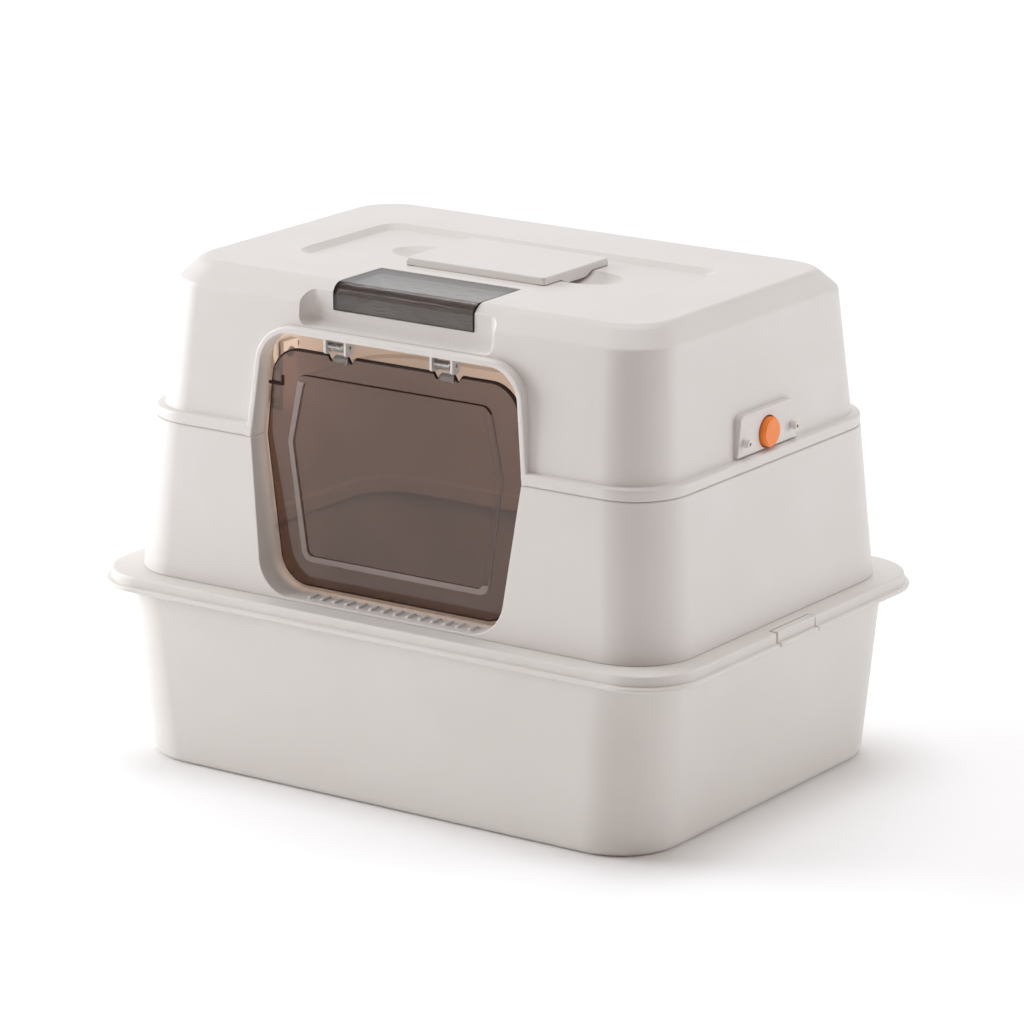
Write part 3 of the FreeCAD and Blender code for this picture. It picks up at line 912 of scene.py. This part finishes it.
@dataclass
class Surround:
    """The tapered wall between pan and hood, with the lower doorway and its ribbed sill."""

    ribs: int = 14
    rib_pitch: float = 11.0
    rib_shift: float = 5.0
    front_rounding: float = 5.0
    rounding_end: float = 257.5
    near: float = 0.5

    def wall_front(self, level: float) -> float:
        """The outer wall's place along Y at a level."""
        foot, head, foot_y, head_y = 143.1, 258.8, -165.0, -156.2
        return foot_y + (head_y - foot_y) * (level - foot) / (head - foot)

    def shell(self) -> Piece:
        """The wall, skirt and lip as one ring, with the door frame and doorway."""
        profile: list[Ring] = [
            (240, 165, 47, 143.1, 0), (239.9, 164.9, 47, 144.2, 0),
            (231.4, 156.3, 45, 257.9, 0), (230.6, 155.5, 44.2, 258.8, 0),
            (228.2, 153.1, 42.4, 258.8, 0.3), (227.8, 152.7, 42, 265.3, 0.9),
            (225.3, 150.2, 39.5, 265.3, 0.9),
            (225.6, 150.5, 40, 249, 1), (229, 154, 42, 245, 1), (236.8, 161.8, 44, 146.5, 1),
            (232.5, 157.5, 38.5, 145.3, 0.6), (232.5, 157.5, 38.5, 134, 0.6), (235.5, 160.5, 41.5, 134, 0.6),
            (235.5, 160.5, 41.5, 143.1, 0),
        ]
        piece = loft("surround_wall", profile, closed=True)
        cut(piece, brick("lip_gap", (-127.3, -175, 258.9), (127.3, -140, 280)))
        frame_block = slab("door_frame", DOORWAY.corners(3.0), Plane.FRONT, -172.0, DOORWAY.jamb_back)
        keep = loft("keep", [
            (239, 164, 46, 140, 0), (239, 164, 46, 143.1, 0), (230.3, 155.2, 44, 258.8, 0),
        ])
        combine(frame_block, "INTERSECT", keep)
        join(piece, frame_block)
        cut(piece, slab("doorway", DOORWAY.corners(), Plane.FRONT, -180.0, -120.0, steps=14))
        bevel_edges(piece, self.on_front_edge, self.front_rounding, 5)
        return piece

    def on_front_edge(self, edge: Any) -> bool:
        """Whether an edge runs round the front of the doorway, below the seam."""
        place = middle(edge)
        if place.z >= self.rounding_end or abs(place.y - self.wall_front(place.z)) >= self.near:
            return False
        return all(self.on_outline(end) for end in ends(edge))

    def on_outline(self, place: Vector) -> bool:
        """Whether a place lies on the doorway's rounded outline."""
        if abs(place.y - self.wall_front(place.z)) > self.near:
            return False
        reach = DOORWAY.distance(place)
        in_corner = place.z < DOORWAY.sill + DOORWAY.foot_corner
        return -CORNER_REACH < reach < ON_OUTLINE and (abs(reach) < ON_OUTLINE or in_corner)

    def sill_ribs(self) -> Piece:
        """The grip ribs on the sill, one made and the rest copied."""
        first = self.rib_shift - (self.ribs - 1) / 2 * self.rib_pitch
        rib = brick("sill_ribs", (first - 1.5, -158.5, 144.4), (first + 1.5, -147.5, 146.7), 0.7)
        copies = [(copied(rib, f"rib_{i}"), i * self.rib_pitch) for i in range(1, self.ribs)]
        row = [rib] + [shift(copy, (across, 0, 0)) for copy, across in copies]
        return merge(row, "sill_ribs")

    def build(self, finishes: Finishes) -> None:
        """Make the surround's pieces and hand them over."""
        wall = smooth(self.shell())
        hand_over(wall, finishes.shell, Body.SURROUND, "shell_pp", "mid_surround")
        hand_over(smooth(self.sill_ribs()), finishes.shell, Body.SURROUND, "shell_pp")


@dataclass
class Hood:
    """The hood shell with its door ring, face hollow, vent box, roof recess and finger scoops."""

    recess_half: float = 86.0
    recess_face: float = -131.0
    scoop_size: tuple[float, float, float] = (42.0, 25.0, 12.0)
    scoop_middle: float = 66.0
    scoop_centre: float = 380.0
    ring_front: float = -156.3
    ring_width: float = 5.0
    ring_lean: float = 3.75
    roof: float = 377.5
    vent_half: float = 62.5
    vent_back: float = -129.0
    recess_mouth: tuple[float, float] = (150.0, 63.0)
    recess_middle: float = -1.0
    post_x: float = 52.0
    post_y: float = 35.0
    near_outline: float = 8.0

    def posts(self, side: int) -> list[tuple[float, float]]:
        """Where the handle's two posts on one side pass through the roof."""
        return [(side * self.post_x, y) for y in (-self.post_y, self.post_y)]

    def outer(self) -> Piece:
        """The outer skin as a closed solid."""
        return loft("hood_body", [
            (228.6, 153.5, 42, 259.1, 0), (230.5, 155.4, 44.2, 259.1, 0), (231.3, 156.2, 45, 260, 0),
            (231.3, 156.2, 45, 267.9, 3), (224.2, 151.5, 41, 267.9, 1.2), (217, 140, 38, 362.5, 7),
            (204.5, 124, 32, 377.5, 9), (150, 70, 20, 377.5, 0),
        ])

    def inner(self) -> Piece:
        """The room inside, as a closed solid, less the walls that hang into it."""
        room = loft("hood_room", [
            (228.3, 153.2, 42, 250, 0), (228.3, 153.2, 42, 266, 0.8), (221.2, 148.6, 38, 266.4, 0.8),
            (214, 137, 35, 361, 5), (202.5, 122, 30, 374.5, 7), (150, 70, 20, 374.5, 0),
        ])
        half, face = self.recess_half, self.recess_face
        cut(
            room,
            brick("face_wall", (-half - 3, -150, 341.5), (half + 3, face + 3, 380)),
            brick("vent_wall", (-65.5, face, 349.7), (65.5, -69, 380)),
            brick("roof_wall", (-153, -68, 371), (153, 65, 380)),
        )
        for side in SIDES:
            cut(room, self.scoop(side, 3.0), rod("boss", (side * 69, -100), Plane.FLOOR, 4.5, 349.7, 380))
            for place in self.posts(side):
                cut(room, rod("sleeve", place, Plane.FLOOR, 7.0, 358.4, 380))
        return room

    def scoop(self, side: int, grow: float = 0.0) -> Piece:
        """A finger scoop under one end of the handle, as a shallow dish."""
        deselect()
        bpy.ops.mesh.primitive_uv_sphere_add(segments=48, ring_count=32, radius=1.0)
        dish = bpy.context.object
        with editing(dish, everything=True):
            bpy.ops.transform.resize(value=[(size + grow) * MM for size in self.scoop_size])
        return shift(dish, (side * self.scoop_middle, 0, self.scoop_centre))

    def ring(self) -> Piece:
        """The raised ring round the upper doorway."""
        corners = DOORWAY.corners(self.ring_width, foot=200.0)
        piece = slab("door_ring", corners, Plane.FRONT, self.ring_front, DOORWAY.jamb_back, 1.6, steps=14)
        self.lean_back(piece)
        behind = brick("behind", (-200, DOORWAY.jamb_back, 250), (200, -100, 400))
        return cut(piece, behind, brick("below", (-200, -200, 150), (200, -100, 259.1)))

    def lean_back(self, piece: Piece) -> None:
        """Lean a piece back about the ring's foot, as the ring leans towards the hood's wall."""
        foot = Vector((0, self.ring_front, DOORWAY.seam)) * MM
        with editing(piece, everything=True):
            bpy.ops.transform.rotate(
                value=math.radians(self.ring_lean), orient_axis="X", center_override=foot
            )

    def shell(self) -> Piece:
        """The whole hood, cut and welded."""
        piece = join(cut(self.outer(), self.inner()), self.ring())
        doorway = slab("doorway", DOORWAY.corners(foot=200.0), Plane.FRONT, -180.0, -120.0, steps=14)
        cut(
            piece,
            doorway,
            self.face_hollow(),
            brick("vent_room", (-self.vent_half, self.vent_back, 352.5), (self.vent_half, -72, 392)),
            brick("vent_mouth", (-self.vent_half, -160, 357), (self.vent_half, -128, 392)),
            brick("vent_window", (-56, -122, 340), (56, -79, 356)),
            rod("pivot_bore", (-77, 374.5), Plane.SIDE, 1.55, -66, 66),
            self.roof_recess(),
        )
        join(piece, brick("grip_bed", (-55.5, -41.5, 372.5), (55.5, 41.5, 376.7), 0.6))
        cut(piece, self.scoop(1), self.scoop(-1))
        for side in SIDES:
            for place in self.posts(side):
                cut(piece, rod("post_bore", place, Plane.FLOOR, 4.25, 350, 390))
            cut(piece, rod("button_bore", (0, 281), Plane.SIDE, 12.25, *span(side, 200, 250)))
        for test, width, segments in (
            (self.on_door_edge, 1.2, 3), (self.on_hollow_top, 7.0, 5), (self.on_hollow_side, 2.4, 4),
            (self.on_recess_edge, 2.0, 4), (self.on_vent_mouth, 0.8, 2),
        ):
            bevel_edges(piece, test, width, segments)
        return piece

    def on_hollow_top(self, edge: Any) -> bool:
        """Whether an edge runs along the top of the face hollow, where it meets the roof's slope."""
        on_face = all(abs(end.y - self.recess_face) < TOUCH and end.z > 362 for end in ends(edge))
        return on_face and sharp(edge, 0.3) and abs(middle(edge).x) > self.vent_half + 0.1

    def on_hollow_side(self, edge: Any) -> bool:
        """Whether an edge runs up the side of the face hollow, along the outer skin."""
        on_side = all(abs(abs(end.x) - self.recess_half) < TOUCH_CLOSELY for end in ends(edge))
        return on_side and sharp(edge, 0.4) and middle(edge).z > 347.0

    def on_vent_mouth(self, edge: Any) -> bool:
        """Whether an edge runs round the vent's opening, along the outer skin."""
        place = middle(edge)
        on_side = all(abs(abs(end.x) - self.vent_half) < TOUCH_CLOSELY for end in ends(edge))
        on_back = abs(ends(edge)[0].y - self.vent_back) <= 0.2
        return on_side and place.z > 357.5 and place.y < -75.0 and sharp(edge, 0.5) and not on_back

    def face_hollow(self) -> Piece:
        """The hollow in the face above the doorway, with rounded inner corners."""
        half, face = self.recess_half, self.recess_face
        return slab(
            "face_hollow", [(-half, -190, 0), (half, -190, 0), (half, face, 9), (-half, face, 9)],
            Plane.FLOOR, 345.0, 395.0, round_start=7.0, steps=8,
        )

    def roof_recess(self) -> Piece:
        """The shallow hollow in the roof that holds the handle."""
        bed = loft("roof_recess", [
            (130, 50, 8, 374, 0), (143.5, 56.5, 11, 374, 3),
            (*self.recess_mouth, 16.0, self.roof, 0.0), (*self.recess_mouth, 16.0, 390.0, 0.0),
        ])
        return shift(bed, (0, self.recess_middle, 0))

    def on_recess_edge(self, edge: Any) -> bool:
        """Whether an edge runs round the top of the roof's recess."""
        half_x, half_y = self.recess_mouth
        for end in ends(edge):
            short_x, short_y = half_x - abs(end.x), half_y - abs(end.y - self.recess_middle)
            on_rim_or_shaded_top_run = short_x < 0.6 or short_y < 0.6 or (short_x < 17.0 and short_y < 17.0)
            if abs(end.z - self.roof) >= TOUCH or min(short_x, short_y) <= -0.5 or not on_rim_or_shaded_top_run:
                return False
        return sharp(edge, 0.3)

    def on_door_edge(self, edge: Any) -> bool:
        """Whether an edge runs round the front of the upper doorway."""
        lean = math.tan(math.radians(self.ring_lean))
        return middle(edge).z > DOORWAY.seam + 0.2 and sharp(edge, 0.8) and all(
            abs(end.y - self.ring_front - lean * (end.z - DOORWAY.seam)) < 0.4
            and -self.near_outline < DOORWAY.distance(end) < ON_OUTLINE for end in ends(edge)
        )

    def build(self, finishes: Finishes) -> None:
        """Make the hood's shell and hand it over."""
        hand_over(smooth(self.shell()), finishes.shell, Body.HOOD, "shell_pp", "hood_shell")


@dataclass
class Vent:
    """The slotted vent floor, the filter pad under it and the bent clear lid over it."""

    slot_pitch: float = 19.0
    row_pitch: float = 8.5
    rows: tuple[int, ...] = (6, 5, 6, 5, 6)
    first_row: float = -116.0

    def grille(self) -> Piece:
        """The vent's floor with five staggered rows of slots."""
        plate = brick("vent_floor_grille", (-62.2, -128.7, 352.5), (62.2, -72.3, 355.0), 0.4)
        slots = []
        for row, count in enumerate(self.rows):
            for i in range(count):
                x = (i - (count - 1) / 2) * self.slot_pitch
                slot = rectangle(x, self.first_row + row * self.row_pitch, 6.0, 1.5, 1.45)
                slots.append(slab("slot", slot, Plane.FLOOR, 350.0, 357.0, steps=4))
        return smooth(cut(plate, merge(slots, "slots")))

    def lid(self) -> Piece:
        """The bent lid, with a short lip down each side and its two pivots."""
        bend = [
            (-73.6, 377.5, 0), (-73.6, 375.5, 0), (-130, 375.5, 7), (-130, 357.6, 0),
            (-132, 357.6, 0), (-132, 377.5, 9),
        ]
        piece = slab("vent_lid", bend, Plane.SIDE, -62.0, 62.0, 0.5, 0.5, steps=10)
        lip = [
            (-75, 376, 0), (-75, 373, 0), (-128.5, 373, 6), (-128.5, 358.5, 0),
            (-130.5, 358.5, 0), (-130.5, 376, 7),
        ]
        for side in SIDES:
            low, high = span(side, 59.0, 61.8)
            join(
                piece,
                slab("lip", lip, Plane.SIDE, *span(side, 60.4, 61.9), steps=8),
                brick("lug", (low, -79.5, 372.5), (high, -74.5, 376.4), 0.4),
                rod("pivot", (-77, 374.5), Plane.SIDE, 1.5, *span(side, 61.0, 65.5)),
            )
        return smooth(piece)

    def on_lid_edge(self, centre: Vector, normal: Vector) -> bool:
        """Whether a face is on the lid's cut edges or its side lips."""
        on_side = abs(centre.x) > 60.3 and abs(normal.x) > 0.5
        return on_side or centre.z < 358.6 or centre.y > -74.2

    def pad(self) -> Piece:
        """The charcoal felt pad, with soft edges and a slight crown."""
        pad = brick("charcoal_pad", (-61.0, -124.0, 341.7), (61.0, -76.0, 349.4))
        with editing(pad, everything=True):
            bpy.ops.mesh.subdivide(number_cuts=5)
        bevel_edges(pad, lambda edge: sharp(edge, 1.0), 2.0)
        surface = pad.modifiers.new("surface", "SUBSURF")
        surface.levels = surface.render_levels = 1
        apply_modifiers(pad)
        return smooth(pad)

    def build(self, finishes: Finishes) -> None:
        """Make the vent's pieces and hand them over."""
        hand_over(self.grille(), finishes.inner, Body.HOOD, "inner_pp", "vent_grille")
        hand_over(
            self.lid(), finishes.vent, Body.VENT_LID, "smoke_clear", "vent_cover",
            others=[(finishes.dark_edge_and_painted_shade, self.on_lid_edge)],
        )
        pad = hand_over(self.pad(), finishes.felt, Body.HOOD, "carbon_pad", "filter_pad")


@dataclass
class Flap:
    """The smoke-clear swing flap with its raised ring, knuckles, hooks and stop tab."""

    front: float = -143.0
    thick: float = 3.0
    gap: float = 4.5
    foot: float = 148.5
    head: float = 327.2
    ring_halves: tuple[float, float, float] = (83.0, 95.5, 85.0)
    ring_levels: tuple[float, float, float] = (167.5, 257.0, 309.0)
    ring_width: float = 5.0
    ring_rise: float = 1.5
    # Above top_run the ring is painted shade with the dark finish; below it, its bead faces carry a painted
    # highlight.
    top_run: float = 303.0
    foot_run: float = 176.0
    notches: tuple[float, ...] = (-56.0, -38.0, 38.0, 56.0)
    knuckle: float = 47.0
    axis: tuple[float, float] = (-146.0, 335.0)

    def shape(self) -> list[Corner]:
        """The flap's outline, one gap inside the doorway."""
        return DOORWAY.corners(-self.gap, self.foot, self.head, (25.0, 25.0))

    def ring_shape(self, inset: float, corner: float) -> list[Corner]:
        """The raised ring's outline, or one inside it, with a given corner radius."""
        levels = [self.ring_levels[0] + inset, self.ring_levels[1], self.ring_levels[2] - inset]
        halves = [half - inset for half in self.ring_halves]
        right = list(zip(halves, levels, (corner, 0.0, corner)))
        return right + [(-half, level, radius) for half, level, radius in reversed(right)]

    def on_rim_or_shaded_top_run(self, centre: Vector, normal: Vector) -> bool:
        """Whether a face is on the cut edge round the panel, or on the raised ring's top run, which gets the
        dark finish as painted shade.
        """
        outside = centre.z > 314 or centre.z < 162 or abs(centre.x) > 99
        on_top_run = centre.z > self.top_run and self.proud(centre)
        return (outside and abs(normal.y) < 0.992) or (on_top_run and abs(normal.y) < 0.9)

    def on_ring_highlight(self, centre: Vector, normal: Vector) -> bool:
        """Whether a face is on the lower runs of the raised ring, which get the pale finish as a painted
        highlight.
        """
        below = self.proud(centre) and centre.z < self.top_run
        return below and (abs(normal.y) < 0.9 or centre.z < self.foot_run or centre.x < 0)

    def proud(self, centre: Vector) -> bool:
        """Whether a face stands out in front of the panel."""
        return centre.y < self.front - 0.1

    def panel(self) -> Piece:
        """The panel, its ring and its two knuckles."""
        back = self.front + self.thick
        piece = slab("door_flap_panel", self.shape(), Plane.FRONT, self.front, back, 1.8, 0.6, steps=12)
        for x in self.notches:
            notch = [(x - 7.0, 332.0, 0.0), (x, 321.0, 1.2), (x + 7.0, 332.0, 0.0)]
            cut(piece, slab("notch", notch, Plane.FRONT, -150.0, -130.0, steps=4))
        outer, inner = self.ring_shape(0.0, 9.0), self.ring_shape(self.ring_width, 5.0)
        crest = self.front - self.ring_rise
        ring = slab("ring", outer, Plane.FRONT, crest, self.front + 1.0, 1.3)
        cut(ring, slab("hole", inner, Plane.FRONT, self.front - 5.0, self.front + 5.0))
        # Cut the ring at its top and foot runs and down the middle, so its faces can take the painted shade
        # and painted highlight finishes.
        with editing(ring):
            for level, normal in ((self.top_run, (0, 0, 1)), (self.foot_run, (0, 0, 1)), (0.0, (1, 0, 0))):
                bpy.ops.mesh.select_all(action="SELECT")
                bpy.ops.mesh.bisect(plane_co=(0, 0, level * MM), plane_no=normal)
        bevel_edges(
            ring,
            lambda edge: all(abs(end.y - crest) < 0.01 for end in ends(edge))
            and len(edge.link_faces) == 2 and sharp(edge, 1.2),
            1.3,
        )
        return smooth(join(piece, ring))

    def knuckle_arm(self, side: int, name: str) -> Piece:
        """One clear knuckle, bored for its pin, with the arm that carries it."""
        centre = side * self.knuckle
        barrel = rod(name, self.axis, Plane.SIDE, 4.2, centre - 7, centre + 7, 0.5)
        arm = slab(
            "arm", [(centre - 7, 321, 3), (centre + 7, 321, 3), (centre + 7, 333, 0), (centre - 7, 333, 0)],
            Plane.FRONT, -144.6, self.front - 0.02, 0.6,
        )
        join(barrel, arm)
        return cut(barrel, rod("bore", self.axis, Plane.SIDE, 1.56, centre - 12, centre + 12))

    def tab(self) -> Piece:
        """The small hooked stop on the flap's left edge."""
        corners = [
            (-112, 298, 0.6), (-99, 298, 0.6), (-99, 306, 0.6), (-100.6, 306, 0.4),
            (-100.6, 300.5, 0.4), (-112, 300.5, 0.6),
        ]
        front, back = self.front - 1.4, self.front - 0.02
        return smooth(slab("flap_stop_tab", corners, Plane.FRONT, front, back, 0.3, steps=4))

    def build(self, finishes: Finishes) -> None:
        """Make the flap's pieces and hand them over."""
        # Besides the cut edge, the ring's top run is painted shade and its lower runs a painted highlight.
        hand_over(
            self.panel(), finishes.flap, Body.FLAP, "smoke_clear", "door_flap",
            others=[(finishes.dark_edge_and_painted_shade, self.on_rim_or_shaded_top_run), (finishes.painted_ring_highlight, self.on_ring_highlight)],
        )
        for side, name in ((1, "flap_knuckle_right"), (-1, "flap_knuckle_left")):
            hand_over(smooth(self.knuckle_arm(side, name)), finishes.clear, Body.FLAP, "smoke_clear")
        hand_over(self.tab(), finishes.dark_edge_and_painted_shade, Body.FLAP, "smoke_clear", "flap_tab")


@dataclass
class Hinges:
    """The two brackets under the doorway's head, each with its pin."""

    ear: float = 2.0
    low: float = 37.0
    high: float = 57.0

    def bracket(self) -> Piece:
        """The right-hand bracket: a base with two round-ended ears."""
        low, high = (self.low, -150.0, 339.4), (self.high, -141.0, 342.0)
        base = brick("hinge_bracket_body_right", low, high, 0.3)
        ear = [
            (-150.6, 341, 0), (-150.6, 329.4, 1.5), (-144, 328.2, 3), (-140.6, 332, 3),
            (-140.6, 341, 0),
        ]
        for start in (self.low, self.high - self.ear):
            join(base, slab("ear", ear, Plane.SIDE, start, start + self.ear, 0.3, 0.3, steps=8))
        return smooth(base)

    def pin(self) -> Piece:
        """The right-hand pin, with rounded ends."""
        return smooth(rod("hinge_pin_body_right", (-146, 335), Plane.SIDE, 1.5, 36.4, 57.6, 0.4))

    def build(self, finishes: Finishes) -> None:
        """Make the hinges' pieces and hand them over."""
        both = (Body.HOOD, Body.HOOD)
        bracket, pin = self.bracket(), self.pin()
        hand_over_pair(bracket, finishes.shell, both, "shell_pp", "hinge_bracket")
        hand_over_pair(pin, finishes.pin, both, "pin_steel", "hinge_pin")


@dataclass
class Handle:
    """The pull-up handle's plate."""

    half_x: float = 62.0
    half_y: float = 42.0
    low: float = 374.4
    bed: float = 377.0
    high: float = 380.0
    lip: float = 6.0
    wall: float = 3.0

    def build(self, finishes: Finishes) -> None:
        """Make the handle's plate and hand it over."""
        x, y = self.half_x, self.half_y
        top, inset, weld = self.bed + 1.0, 0.5, 0.02
        corners = rectangle(0, 0, x, y, 3.0)
        plate = slab("handle_top", corners, Plane.FLOOR, self.bed, self.high, 0.5, 1.0, steps=6)
        grip = [(-22.0, 375.5, 0.0), (-12.0, 371.0, 8.0), (12.0, 371.0, 8.0), (22.0, 375.5, 0.0)]
        for side in SIDES:
            low, high = span(side, x - self.lip, x - weld)
            join(plate, brick("lip", (low, -y + inset, self.low), (high, y - inset, top), 0.6))
            join(plate, slab("grip", grip, Plane.SIDE, *span(side, x - self.lip, x - 0.1), steps=6))
        for front in (-y, y - self.wall):
            back = front + self.wall - weld
            join(plate, brick("long_lip", (-x + inset, front + weld, self.low), (x - inset, back, top), 0.5))
        hand_over(smooth(plate), finishes.shell, Body.HANDLE, "shell_pp", "handle_plate")


@dataclass
class SideLocks:
    """The lock on each side: a raised plate with two hollow pegs and an orange push button."""

    level: float = 281.0
    face: float = 227.5

    def plate(self) -> Piece:
        """The right-hand plate, bored for its button and pegs."""
        corners = [(-40.0, 268.8, 0.0), (40.0, 268.8, 0.0), (36.0, 299.0, 5.0), (-36.0, 299.0, 5.0)]
        piece = slab("lock_plate_body_right", corners, Plane.SIDE, 220.6, self.face, 0.0, 0.9, steps=8)
        return smooth(cut(piece, rod("bore", (0, self.level), Plane.SIDE, 12.25, 200, 240)))

    def pegs(self) -> Piece:
        """The two right-hand pegs with their blind holes."""
        pegs = []
        for y in (-32.0, 32.0):
            peg = rod("peg", (y, 279.0), Plane.SIDE, 3.0, self.face - 2, self.face + 5.4, 0.4)
            pegs.append(cut(peg, rod("hole", (y, 279.0), Plane.SIDE, 1.4, self.face, self.face + 8)))
        return smooth(merge(pegs, "side_pegs_body_right"))

    def button(self) -> Piece:
        """The right-hand button: a rounded cap, its collar and stem."""
        piece = turned("lock_button_cap_right", (0, self.level), Plane.SIDE, [
            (2.9, 201, 0), (3, 214, 0), (12.5, 214, 0.2), (12.5, 216.5, 0.2), (11, 216.5, 0.2),
            (11, 230.6, 0), (9.6, 232, 0.8), (6, 232.1, 0),
        ], 64)
        return smooth(cut(piece, rod("pilot", (0, self.level), Plane.SIDE, 1.2, 195, 209)))

    def build(self, finishes: Finishes) -> None:
        """Make both locks and hand them over."""
        both = (Body.HOOD, Body.HOOD)
        hand_over_pair(self.plate(), finishes.shell, both, "shell_pp", "lock_plate")
        hand_over_pair(self.pegs(), finishes.shell, both, "shell_pp", "side_pegs")
        buttons = (Body.BUTTON_RIGHT, Body.BUTTON_LEFT)
        hand_over_pair(self.button(), finishes.button, buttons, "button_abs", "lock_button")


def dress_inner_parts(finishes: Finishes) -> None:
    """Give every CAD node that stays its own finish, by the record's slot."""
    by_slot = {
        "pan_pp": finishes.pan, "shell_pp": finishes.shell, "smoke_clear": finishes.flap,
        "button_abs": finishes.button, "inner_pp": finishes.inner, "carbon_pad": finishes.felt,
        "steel_screw": finishes.screw, "spring_steel": finishes.spring, "pin_steel": finishes.pin,
    }
    slots = {part["node"]: part["material_slot"] for part in frame["record"]["subparts"]}
    for name, node in frame["nodes"].items():
        node.data.materials.clear()
        node.data.materials.append(by_slot[slots[name]])
        for polygon in node.data.polygons:
            polygon.material_index = 0
    log.info("dressed %d carried-over nodes", len(frame["nodes"]))


# ---- studio ----


@dataclass
class Studio:
    """A pale floor, soft lights on both sides and above, and a long lens."""

    azimuth: float = 34.65
    elevation: float = 15.47
    distance: float = 3.7614
    target: tuple[float, float, float] = (0.00437, 0.0, 0.18587)
    lens: float = 177.1
    ambient: float = 0.28
    warm: str = "#FFEAE1"
    cool: str = "#F6FBFF"
    middle: tuple[float, float, float] = (0.0, 0.0, 0.2)

    def direction(self, azimuth: float, elevation: float) -> Vector:
        """The unit direction from the box towards a place around it."""
        turn, rise = math.radians(azimuth), math.radians(elevation)
        return Vector((math.sin(turn) * math.cos(rise), -math.cos(turn) * math.cos(rise), math.sin(rise)))

    def aim(self, thing: Piece, place: Vector, target: Sequence[float]) -> None:
        """Put a camera or lamp in its place, facing a target."""
        thing.location = place
        thing.rotation_euler = (Vector(target) - place).to_track_quat("-Z", "Y").to_euler()

    def hang(self, name: str, data: Any) -> Piece:
        """Put a camera or light in the scene."""
        thing = bpy.data.objects.new(name, data)
        bpy.context.scene.collection.objects.link(thing)
        return thing

    def lamp(self, name: str, kind: str, power: float, colour: str) -> Piece:
        """Add one light of a kind, power and sRGB hex colour."""
        light = bpy.data.lights.new(name, kind)
        light.energy, light.color = power, linear(colour)[:3]
        return self.hang(name, light)

    def camera(self) -> None:
        """Place the camera."""
        lens = bpy.data.cameras.new("camera")
        lens.lens, lens.sensor_width = self.lens, 36.0
        camera = self.hang("camera", lens)
        place = Vector(self.target) + self.direction(self.azimuth, self.elevation) * self.distance
        self.aim(camera, place, self.target)
        bpy.context.scene.camera = camera

    def softbox(
        self, name: str, azimuth: float, elevation: float, away: float, size: float, power: float
    ) -> None:
        """Hang a square soft light that faces the box."""
        lamp = self.lamp(name, "AREA", power, self.cool)
        lamp.data.shape, lamp.data.size = "SQUARE", size
        place = Vector(self.middle) + self.direction(azimuth, elevation) * away
        self.aim(lamp, place, self.middle)

    def overhead(self, strength: float) -> None:
        """Light everything evenly from above, as a wide diffusing ceiling does."""
        lamp = self.lamp("overhead", "SUN", strength, self.cool)
        lamp.data.angle = math.radians(45)
        lamp.rotation_euler = (math.radians(-8), math.radians(-6), 0)

    def glow_through_walls(self, power: float) -> None:
        """Stand in, inside the box, for the warm daylight that thin white walls let through."""
        lamp = self.lamp("wall_glow", "POINT", power, "#FFE4D2")
        lamp.data.shadow_soft_size = 0.07
        lamp.location = (-0.08, 0.0, 0.28)
        lamp.visible_camera = lamp.visible_glossy = lamp.visible_transmission = False

    def floor(self) -> None:
        """Lay the pale floor."""
        deselect()
        bpy.ops.mesh.primitive_plane_add(size=40.0)
        floor = bpy.context.object
        floor.name = "studio_floor"
        material, tree, _ = blank("pale_paper_floor")
        shade(tree, Base_Color=linear("#FDFDFD"), Roughness=0.9)
        floor.data.materials.append(material)

    def backdrop(self, tree: Tree) -> None:
        """Show the world as plain white behind the floor, whatever light it gives."""
        warm = tree.nodes["Background"].outputs["Background"]
        seen = add(tree, "ShaderNodeLightPath").outputs["Is Camera Ray"]
        white = add(tree, "ShaderNodeBackground", Color=linear("#FFFFFF")).outputs["Background"]
        mix = add(tree, "ShaderNodeMixShader", Fac=seen, _1=warm, _2=white)
        tree.links.new(mix.outputs["Shader"], tree.nodes["World Output"].inputs["Surface"])

    def build(self) -> None:
        """Set up camera, lights, sky and floor."""
        scene = bpy.context.scene
        scene.view_settings.view_transform = "Standard"
        world = bpy.data.worlds.new("studio")
        scene.world = world
        world.use_nodes = True
        sky = world.node_tree.nodes["Background"].inputs
        sky["Color"].default_value, sky["Strength"].default_value = linear(self.warm), self.ambient
        self.backdrop(world.node_tree)
        self.camera()
        self.floor()
        self.softbox("left_softbox", azimuth=-70, elevation=14, away=3.2, size=2.0, power=95)
        self.softbox("right_softbox", azimuth=128, elevation=14, away=3.2, size=1.8, power=34)
        self.softbox("back_softbox", azimuth=214, elevation=15, away=4.6, size=2.6, power=20)
        self.overhead(1.84)
        self.glow_through_walls(0.55)


def main() -> None:
    """Build the box piece by piece, then the studio."""
    logging.basicConfig(level=logging.INFO, format="%(name)s: %(message)s")
    finishes = Finishes()
    dress_inner_parts(finishes)
    for part in (Pan(), Surround(), Hood(), Vent(), Flap(), Hinges(), Handle(), SideLocks()):
        part.build(finishes)
        log.info("built %s", type(part).__name__)
    Studio().build()


if __name__ == "__main__":
    main()
